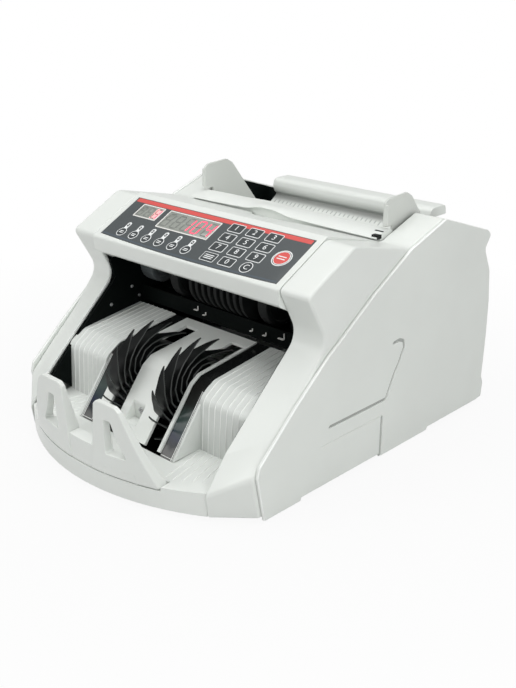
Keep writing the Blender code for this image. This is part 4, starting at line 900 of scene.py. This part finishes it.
PRONG = (
    (66.5, 16.4, 1.2), (45.6, 62.2, 6), (43.2, 66.3, 3), (38.8, 69, 3), (20.4, 68.6, 2.5),
    (17.2, 65.6, 2.5), (11, 16.4, 1.2),
)
PRONG_HOLE = ((27.0, 56.6, 1.2), (33.4, 57.0, 2), (37.9, 44.6, 9), (44.9, 32.9, 1.2), (25.6, 31.8, 1.6))
PRONG_FLAT = 6
FOOT_HEIGHT, FOOT_DEEP = 16, 8.5
TIP_HEIGHT, TIP_DEEP = 69, 3.8
TOP_FRONT = -149.0
# Height over which the bow fades, and the sideways lean of a prong's inner edge
FADE_HEIGHT, EDGE_LEAN = 51, 0.1257


def bend(made, across, up, place):
    """Cuts a mesh along planes of constant x and z, then moves each point by a rule given in millimetres."""
    mesh_data = bmesh.new()
    mesh_data.from_mesh(made.data)
    for spots, normal in ((across, (1, 0, 0)), (up, (0, 0, 1))):
        for spot in spots:
            every = mesh_data.verts[:] + mesh_data.edges[:] + mesh_data.faces[:]
            where = tuple(spot * MM * share for share in normal)
            bmesh.ops.bisect_plane(mesh_data, geom=every, dist=1e-7, plane_co=where, plane_no=normal)
    for vert in mesh_data.verts:
        vert.co = in_frame(place(vert.co.x / MM, vert.co.y / MM - SIDE_ZERO, vert.co.z / MM))
    mesh_data.to_mesh(made.data)
    mesh_data.free()
    return made


def prong_place(x, y, z):
    """Bowed at the foot, flat at the top, and thinner upwards."""
    share = min(1, max(0, (z - FOOT_HEIGHT) / FADE_HEIGHT))
    thick = FOOT_DEEP + (TIP_DEEP - FOOT_DEEP) * (z - FOOT_HEIGHT) / (TIP_HEIGHT - FOOT_HEIGHT)
    return x, bow(x) * (1 - share) + TOP_FRONT * share + y * thick / PRONG_FLAT, z


def wedge(side):
    """Thin rib behind a prong, along its inner edge."""
    foot_x, foot_z = PRONG[-1][:2]
    rings = []
    for across, soft in ((0.3, 0.2), (0.5, 0.0), (2.3, 0.0), (2.5, 0.2)):
        rear, top = -139.2 - soft, 66.0 - soft
        spots = ((-146.0, 20.0), (rear, 20.0), (rear, 35.5), (-145.2 - soft, top), (-146.5, top))
        rings.append([(side * (foot_x + EDGE_LEAN * (z - foot_z) + across), y, z) for y, z in spots])
    return loft("wedge", rings)


def stacker_plate():
    """Front plate on the bow, with two pierced prongs, their wedges and a lower ledge between them."""
    pieces = []
    for side in (-1, 1):
        shape = outline([(side * x, z, r) for x, z, r in PRONG], 6)
        hole = outline([(side * x, z, r) for x, z, r in PRONG_HOLE], 5)
        prong = slab("prong", shape, 0, PRONG_FLAT, "y", 0.9, 4)
        cut(prong, slab("hole", hole, -3, 9, "y", 0.01, 1))
        edged(prong, 0.6, 3, 60)
        bend(prong, range(-66, 70, 4), range(20, 68, 4), prong_place)
        pieces += [prong, wedge(side)]
    columns = [-13 + 26 * k / 12 for k in range(13)]
    section = ((0.9, 16.4), (0.9, 32.9), (1.1, 33.5), (1.6, 33.8), (9.4, 34.4), (9.9, 34.2), (9.9, 16.4))
    pieces.append(loft("ledge", [[(x, bow(x) + deep, z) for deep, z in section] for x in columns]))
    made = merged("prong_plate", pieces)
    dress(made, LIGHT, nodes=("stacker_plate",), angle=35)
    foot = ((23.3, 15.9, 0.5), (50.6, 15.9, 0.5), (49.6, 23.4, 1.2), (23.6, 22.8, 1.2))
    frame_line = denser(outline(foot, 4))
    rings = []
    for one, two in zip(frame_line, inset(frame_line, 0.35)):
        spots = ((one, 0.3), (one, -0.1), (two, -0.1), (two, 0.3))
        rings.append([prong_place(spot.x, deep, spot.y) for spot, deep in spots])
    dress(loft("prong_foot_line", rings, loop=True), LIGHT)
    # Thin beads along the tray rim's top edge in the highlight colour: painted highlight
    rims = []
    for side in (-1, 1):
        for low, high in ((67.6, 76.5), (76.2, 85.5), (85.2, 94.2)):
            ends = [(side * x, bow(x) + 0.75, floor_at(bow(x)) - 0.3) for x in (low, high)]
            rims.append(bead(*ends, 0.8, 0.35))
    dress(merged("rim_edge_highlights", rims), PAINTED_HIGHLIGHT, angle=60)


stacker_plate()


# Hopper

# Height and radius of the finger scoop's bowl, from above the console down to its floor
BOWL = ((165, 37.5), (151.6, 36), (150.4, 33.7), (147.2, 31.5), (144.6, 27), (143.2, 20))


def console_skin():
    """The console with a finger scoop sunk into its rear top edge."""
    source = frame["nodes"]["console_housing"]
    mesh = source.data.copy()
    mesh.transform(source.matrix_world)
    made = added("console_skin", mesh)
    weld(made)
    settle(made)
    rings = [[(p.x, p.y, z) for p in round_points((0, 60), radius, 96)] for z, radius in BOWL]
    cut(made, loft("bowl", rings))
    edged(made, 0.8, 2, 38)
    dress(made, LIGHT, nodes=("console_housing",), angle=35)


console_skin()


def eased(table, x):
    """A smooth value between the entries of a table of (x, value)."""
    if x <= table[0][0]:
        return table[0][1]
    for (low, one), (high, two) in zip(table, table[1:]):
        if x <= high:
            share = (x - low) / (high - low)
            share = share * share * (3 - 2 * share)
            return one + (two - one) * share
    return table[-1][1]


LIP_HALF = 94.5
LIP_EDGE = (
    (-94.5, 150.1), (-70, 150.5), (-50, 150.9), (-36, 151.3), (-14, 154.3), (-5, 154.0), (18, 151.2),
    (40, 150.8), (94.5, 150.3),
)
LIP_TOP = ((-94.5, 154.8), (-55, 155.3), (-20, 156.2), (10, 155.3), (94.5, 154.8))


def hopper_lip():
    """Bowed front lip: a thin front edge over the finger scoop and a rounded top."""
    rings = []
    for step in range(64):
        x = 2 * LIP_HALF * step / 63 - LIP_HALF
        low, high = eased(LIP_EDGE, x), eased(LIP_TOP, x)
        middle = (low + high) / 2
        section = (
            (41.0, low), (40.7, low + 0.5), (41.2, low + 1.1), (43.5, low + 2.0), (47.5, middle + 1.5),
            (52.0, high - 0.5), (55.0, high), (57.2, high - 0.3), (58.8, high - 1.4), (59.7, high - 3.4),
            (60.2, 140), (60.7, 124), (58.1, 123.8), (57.4, 142), (44.9, 143.5), (44.9, low - 0.5),
        )
        rings.append([(x, y, z) for y, z in section])
    made = loft("front_lip", rings)
    dress(made, LIGHT, nodes=("hopper_lip",), angle=50)
    # Black blocks in the gap at the lip's right corner: painted shade
    gaps = (((89.6, 41.4, 150.0), (94.9, 46.2, 153.0)), ((87.2, 47.9, 153.2), (94.2, 49.6, 154.5)))
    dark = [block("gap", one, two, 0.2, 1) for one, two in gaps]
    dress(merged("lip_corner_gap_shade", dark), BLACK)


ROLL = (
    (118.5, 133.6, 10), (124.0, 137.2, 6), (129.4, 141.0, 0.8), (126.4, 143.7, 2.5), (124.6, 148.5, 5),
    (125.9, 154.2, 4), (130.5, 155.4, 4), (145.9, 155.4, 4), (146.4, 147.4, 1),
)
ROLL_END = ((79.8, 0.0), (80.6, 0.2), (81.2, 0.6), (81.5, 1.2))


def hopper_plate():
    """Sloping hopper floor with a rolled rear edge that overhangs a concave fillet, and its ruler ticks."""
    behind = ((131.8, 147.2, 0.5), (131.7, 141.6, 2), (125.6, 134.2, 3), (119.8, 130.2, 3), (91.8, 116.9))
    points = outline(((91.8, 120.1),) + ROLL + behind, 6)
    stations = [(-x, inward) for x, inward in ROLL_END[::-1]]
    stations += [(-40, 0.0), (0, 0.0), (40, 0.0), *ROLL_END]
    rings = []
    for x, inward in stations:
        line = inset(points, inward * 0.6) if inward else points
        rings.append([(x, p.x, p.y) for p in line])
    made = loft("rolled_plate", rings)
    for side in (-1, 1):
        low, high = sorted((side * 50, side * 83))
        cut(made, block("stem_slot", (low, 95.6, 100), (high, 104.6, 140), 0.3, 1))
    shelf = outline(((64.1, 106.9, 0.5), (91.75, 120.08), (91.75, 116.9), (65.2, 104.6, 0.5)), 3)
    made = merged("hopper_floor", [made, slab("shelf", shelf, -92.5, 92.5, "x", 0.3, 2)])
    # The floor's material paints shade along the fold under the rolled edge
    dress(made, ROLL_FOLD_SHADE, nodes=("hopper_plate",), angle=40)
    ticks = []
    for number in range(35):
        x = -76.5 + 4.5 * number
        reach = 4.2 if number % 5 == 0 else 3.2
        tip = (x, 124.6 - reach, 137.55 - reach * 0.65)
        ticks.append(bead((x, 124.6, 137.55), tip, 1.3, 0.3, (0, -0.55, 0.84)))
    dress(merged("ruler_ticks", ticks), TICK)
    liner = (
        (104.0, 126.0), (104.0, 153.4, 1), (140.4, 142.2, 2), (144.6, 139.0, 1), (138.0, 129.6, 3),
        (128.0, 126.0),
    )
    rear = ((126.3, 131.2), (131.5, 145.0, 0.2), (130.8, 145.3, 0.2), (125.6, 131.5))
    ends = [side_slab(side, "liner", outline(liner, 4), 92.1, 92.6, 0.1, 1) for side in (-1, 1)]
    ends += [side_slab(side, "liner", outline(rear, 2), 82.0, 92.4, 0.1, 1) for side in (-1, 1)]
    dress(merged("hopper_end_liners", ends), SHADED_BLACK)


GUIDE = (
    (53.2, 155.9, 0.9), (53.2, 173.2, 3.5), (57.0, 175.7, 5), (78.3, 176.95, 3), (84.6, 173.3, 5),
    (112.3, 138.3, 1.5), (112.3, 131.6, 0.9), (104.1, 127.6, 0.3), (104.1, 113.5), (96.1, 113.5),
    (96.1, 123.7, 0.3), (62.3, 107.6, 0.9), (62.3, 155.7, 1),
)
SLEEVE = ((80.1, 3.2), (80.1, 5.6), (80.5, 6.0), (91.6, 6.0), (91.9, 5.6), (91.9, 3.2))
GUIDE_RAIL = (100.09, 110.84)


def note_guide(side, word):
    """Side guide with a rolled front edge, its stem and the sleeve that runs on the rail."""
    pieces = [side_slab(side, "guide", outline(GUIDE, 5), 90, 92, 0.4, 3)]
    low, high = sorted((side * 91.2, side * 93.9))
    pieces.append(block("flare", (low, 53.3, 157.0), (high, 54.7, 171.8), 0.55, 3))
    pieces.append(lathe("sleeve", [(side * x, r) for x, r in SLEEVE], GUIDE_RAIL, 32))
    made = merged(f"{word}_guide", pieces)
    dress(made, GUIDE_LOOK, body=f"{word}_guide", nodes=(f"{word}_note_guide",), angle=40)


hopper_lip()
hopper_plate()
for side, word in SIDES:
    note_guide(side, word)


# Keypad

SLOPE_ANGLE = math.atan2(CREST[1] - BEAK[1], CREST[0] - BEAK[0])
COS, SIN = math.cos(SLOPE_ANGLE), math.sin(SLOPE_ANGLE)


def on_slope(x, up, above):
    return (x, BEAK[0] + up * COS - above * SIN, BEAK[1] + up * SIN + above * COS)


def print_plate(points, low, high, dome=0.0, name="print"):
    """A thin closed plate of an outline on the keypad slope."""
    rings = [[on_slope(p.x, p.y, at) for p in points] for at in (low, high)]
    if dome:
        rings.append([on_slope(p.x, p.y, high + dome) for p in inset(points, dome * 1.6)])
    return loft(name, rings)


def print_ring(points, width, low, high):
    """A thin closed line along an outline on the keypad slope."""
    rings = []
    for outer, inner in zip(points, inset(points, width)):
        corners = ((outer, low), (outer, high), (inner, high), (inner, low))
        rings.append([on_slope(spot.x, spot.y, at) for spot, at in corners])
    return loft("print", rings, loop=True)


def box_outline(x, up, wide, tall, radius, steps=4):
    return rectangle((x - wide / 2, up - tall / 2), (x + wide / 2, up + tall / 2), radius, steps)


def lettering(text, x, up):
    """A digit or sign on the keypad slope."""
    low, high = 0.2, 0.4
    curve = bpy.data.curves.new("sign", "FONT")
    put(curve, body=text, size=6.4, align_x="CENTER", align_y="CENTER", resolution_u=3)
    sign = added("sign", curve)
    bpy.context.view_layer.update()
    flat = bpy.data.meshes.new_from_object(sign.evaluated_get(bpy.context.evaluated_depsgraph_get()))
    bpy.data.objects.remove(sign)
    mesh_data = bmesh.new()
    mesh_data.from_mesh(flat)
    grown = bmesh.ops.extrude_face_region(mesh_data, geom=mesh_data.faces[:])
    raised = {v for v in grown["geom"] if isinstance(v, bmesh.types.BMVert)}
    for vert in mesh_data.verts:
        vert.co = in_frame(on_slope(x + vert.co.x, up + vert.co.y, high if vert in raised else low))
    return made_object("sign", mesh_data)


# Underside of the prints, a little inside the film
FOOT = -0.02
KEY_COLUMNS = (22.4, 39.9, 57.8)
KEY_ROWS = (41.0, 30.8, 20.7, 10.4)
FUNCTION_KEYS = (-71.6, -58.0, -43.8, -29.7, -15.6, -1.4)


def bar_and_band():
    """Red bar along the top and curved blue band along the bottom of the film."""
    bar = outline(((-88.2, 43.4, 0.3), (88.2, 43.4, 0.3), (88.2, 47.3, 0.8), (-88.2, 47.3, 0.8)), 3)
    dress(print_plate(bar, FOOT, 0.05, name="red_bar"), RED)
    steps = [2 * k / 24 - 1 for k in range(25)]
    band = [Vector((88.4 * t, 5.3 - 2.4 * (1 - t * t))) for t in steps]
    band += [Vector((88.4 * t, 6.6 - 2.2 * (1 - t * t))) for t in steps[::-1]]
    dress(print_plate(band, FOOT, 0.04, name="blue_band"), BAND)


def keypad():
    """Keys, signs and lamps embossed on the film."""
    caps, lines, signs, lamps = [], [], [], []

    def key(shape, wide=0.6, high=0.2):
        caps.append(print_plate(inset(shape, 0.4), FOOT, 0.12, 0.18))
        lines.append(print_ring(shape, wide, FOOT, high))

    for number in range(9):
        x, up = KEY_COLUMNS[number % 3], KEY_ROWS[number // 3]
        key(box_outline(x, up, 13.2, 8.4, 1.3))
        signs.append(lettering(str(number + 1), x, up))
    (left, middle, right), up = KEY_COLUMNS, KEY_ROWS[3]
    key(box_outline(left, up, 13.2, 8.4, 1.0), 0.5, 0.14)
    for offset in (-1.6, 0, 1.6):
        lines.append(print_plate(box_outline(left, up + offset, 8.5, 0.7, 0.3), 0.2, 0.36))
    key(box_outline(middle, up, 13.0, 8.2, 1.3))
    signs.append(lettering("0", middle, up))
    key(round_points((right, up), 5.0, 32))
    signs.append(lettering("C", right, up))
    for x in FUNCTION_KEYS:
        key(round_points((x, 10.7), 4.3, 32), 0.7)
        for offset in (-0.75, 0.75):
            lines.append(print_plate(box_outline(x, 10.7 + offset, 4.0, 0.7, 0.25), 0.2, 0.4))
        stem = ((x - 1.7, 14.6, 0.3), (x + 1.7, 14.6, 0.3), (x + 2.1, 21.6, 1.9), (x - 2.1, 21.6, 1.9))
        lines.append(print_plate(outline(stem, 4), FOOT, 0.1))
        caps.append(print_plate(box_outline(x, 18.6, 1.9, 3.2, 0.9), 0.05, 0.2))
        lamps.append(print_plate(round_points((x, 18.6), 0.5, 16), 0.15, 0.3))
    dress(merged("key_caps", caps), KEY)
    for name, prints in (("key_lines", lines), ("key_signs", signs), ("key_lamps", lamps)):
        dress(merged(name, prints), WHITE_PRINT)


def round_key():
    """Round red key with two white rings and two bars."""
    x, up = 77.0, 25.7
    button = round_points((x, up), 7.4, 40)
    plate = print_plate(inset(button, 1.6), FOOT, 0.14, 0.3, "round_red_key")
    dress(plate, RED)
    rings = [print_ring(button, 0.7, FOOT, 0.2), print_ring(inset(button, 1.2), 0.45, FOOT, 0.35)]
    for offset in (-1.1, 1.1):
        rings.append(print_plate(box_outline(x, up + offset, 7.0, 0.8, 0.3), 0.3, 0.5))
    dress(merged("round_key_rings", rings), WHITE_PRINT)


def display_rims():
    """Pale raised rims of both displays."""
    rims = []
    for low, high, bottom, top in ((-77.5, -53.0, 28.9, 42.4), (-47.0, 7.0, 24.1, 42.4)):
        middle = ((low + high) / 2, (bottom + top) / 2)
        rim = box_outline(*middle, high - low + 0.5, top - bottom + 0.5, 0.6)
        rims.append(print_ring(rim, 0.9, -0.4, 0.22))
    dress(merged("display_rims", rims), PALE_RIM_AND_GLINT)


# Each bar's ends, as shares of the figure's width and height
SEGMENTS = {
    "a": ((0, 1), (1, 1)), "b": ((1, 1), (1, 0.5)), "c": ((1, 0.5), (1, 0)), "d": ((0, 0), (1, 0)),
    "e": ((0, 0.5), (0, 0)), "f": ((0, 1), (0, 0.5)), "g": ((0, 0.5), (1, 0.5)),
}
# Figures, left edge and width of a display, then height up the slope and width, height and bar of a figure
DISPLAYS = (("  104", -47, 54, 33.2, 6.2, 13.0, 1.1), ("  1", -77.5, 24.5, 35.6, 4.6, 9.4, 0.9))
# A figure's sideways lean, and the gap at a bar's end
FIGURE_LEAN, BAR_GAP = 0.12, 0.25
DIGITS = {"0": "abcdef", "1": "bc", "4": "bcfg", "8": "abcdefg", " ": ""}


def digit(text, x, up, wide, tall, bar):
    """Lit and unlit bars of one seven-segment figure."""
    lit_bars, dark_bars = [], []
    for key, ends in SEGMENTS.items():
        points = []
        for across, share in ends:
            high = share * tall
            lean = (high - tall / 2) * FIGURE_LEAN
            points.append(Vector((x + (across - 0.5) * wide + lean, up + high - tall / 2)))
        one, two = points
        way = (two - one).normalized()
        normal = Vector((-way.y, way.x)) * bar / 2
        one, two = one + way * BAR_GAP, two - way * BAR_GAP
        start, end = one + way * bar / 2, two - way * bar / 2
        shape = [one, start - normal, end - normal, two, end + normal, start + normal]
        target = lit_bars if key in DIGITS[text] else dark_bars
        target.append(print_plate(shape, 0.01, 0.06))
    return lit_bars, dark_bars


def displays():
    """The figures of both displays and the red glow behind the small one's."""
    lit_bars, dark_bars = [], []
    for text, left, room, *sizes in DISPLAYS:
        for number, figure in enumerate(text):
            one, two = digit(figure, left + room * (number + 0.5) / len(text), *sizes)
            lit_bars += one
            dark_bars += two
    dress(merged("lit_segments", lit_bars), GLOW)
    # The glow field takes the name that Blender numbers it with here, print.015
    dress(print_plate(box_outline(-57.2, 35.6, 6.4, 10.6, 0.6), 0.0, 0.008), HALO)
    dress(merged("dim_segments", dark_bars), DIM)


bar_and_band()
keypad()
round_key()
display_rims()
displays()


# Stage, light and camera

def seen_by(tree, *rays):
    """One where a ray of a named kind arrives, else zero."""
    path = node(tree, "LightPath")
    found = path.outputs[f"Is {rays[0]} Ray"]
    for ray in rays[1:]:
        either = node(tree, "Math", operation="MAXIMUM")
        wire(found, either, 0)
        wire(path.outputs[f"Is {ray} Ray"], either, 1)
        found = either.outputs["Value"]
    return found


def mixed(tree, share, one, two, output):
    mix = node(tree, "MixShader")
    wire(share, mix, "Fac")
    wire(one, mix, 1)
    wire(two, mix, 2)
    wire(mix.outputs["Shader"], tree.nodes[output], "Surface")


def stage():
    """Pale floor that glows for the camera, a little less near the object."""
    corners = ((-4000, -4000), (4000, -4000), (4000, 4000), (-4000, 4000))
    floor = loft("floor", [[(x, y, z) for x, y in corners] for z in (0, -1)])
    made, tree, shader = tree_of("floor_look")
    put(shader, Base_Color=(0.6, 0.6, 0.6, 1), Roughness=0.8, Specular_IOR_Level=0.1)
    distance = node(tree, "VectorMath", operation="LENGTH")
    wire(coordinates(tree), distance, 0)
    share = node(tree, "Math", operation="MULTIPLY")
    wire(seen_by(tree, "Camera", "Glossy", "Transmission"), share, 0)
    brightness = ranged(tree, distance.outputs["Value"], low=0.92, high=1.0, start=0.16, end=0.5)
    wire(brightness, share, 1)
    glow = node(tree, "Emission", Strength=1.0)
    mixed(tree, share.outputs["Value"], shader.outputs["BSDF"], glow.outputs["Emission"], "Material Output")
    floor.data.materials.append(made)


def world():
    """Dim soft surroundings for the object, white for the camera."""
    made = bpy.data.worlds.new("studio")
    scene.world = made
    made.use_nodes = True
    tree = made.node_tree
    back = tree.nodes["Background"]
    put(back, Color=(0.98, 1.0, 0.98, 1), Strength=0.30)
    white = node(tree, "Background", Color=(1, 1, 1, 1), Strength=1.0)
    seen = seen_by(tree, "Camera", "Transmission")
    mixed(tree, seen, back.outputs["Background"], white.outputs["Background"], "World Output")


def aimed(name, data, place, way):
    """An object at a place in metres, looking along a direction."""
    made = added(name, data)
    quaternion = way.to_track_quat("-Z", "Y")
    put(made, location=place, rotation_mode="QUATERNION", rotation_quaternion=quaternion)
    return made


def lamp(name, place, target, size, power):
    data = bpy.data.lights.new(name, "AREA")
    put(data, shape="RECTANGLE", size=size, size_y=size, energy=power)
    aimed(name, data, place, Vector(target) - Vector(place))


# The photograph's camera: azimuth and elevation in degrees, lens and place in millimetres
AZIMUTH, ELEVATION = 43.889, 21.618
LENS = 49.76
CAMERA_PLACE = (475.54, -472.7, 324.44)


def camera():
    data = bpy.data.cameras.new("camera")
    put(data, lens=LENS, sensor_width=36, sensor_fit="AUTO", clip_start=0.01)
    azimuth, elevation = math.radians(AZIMUTH), math.radians(ELEVATION)
    level = math.cos(elevation)
    back = Vector((math.sin(azimuth) * level, -math.cos(azimuth) * level, math.sin(elevation)))
    scene.camera = aimed("camera", data, in_frame(CAMERA_PLACE), -back)


stage()
world()
lamp("top_box", (0.0, 0.05, 1.3), (0, 0, 0.1), 1.3, 10.6)
lamp("front_left_box", (-0.7, -1.1, 0.9), (0, 0, 0.08), 0.9, 6.5)
lamp("right_fill", (1.2, -0.45, 0.55), (0, 0, 0.08), 0.8, 6.0)
camera()
scene.view_settings.view_transform = "Standard"
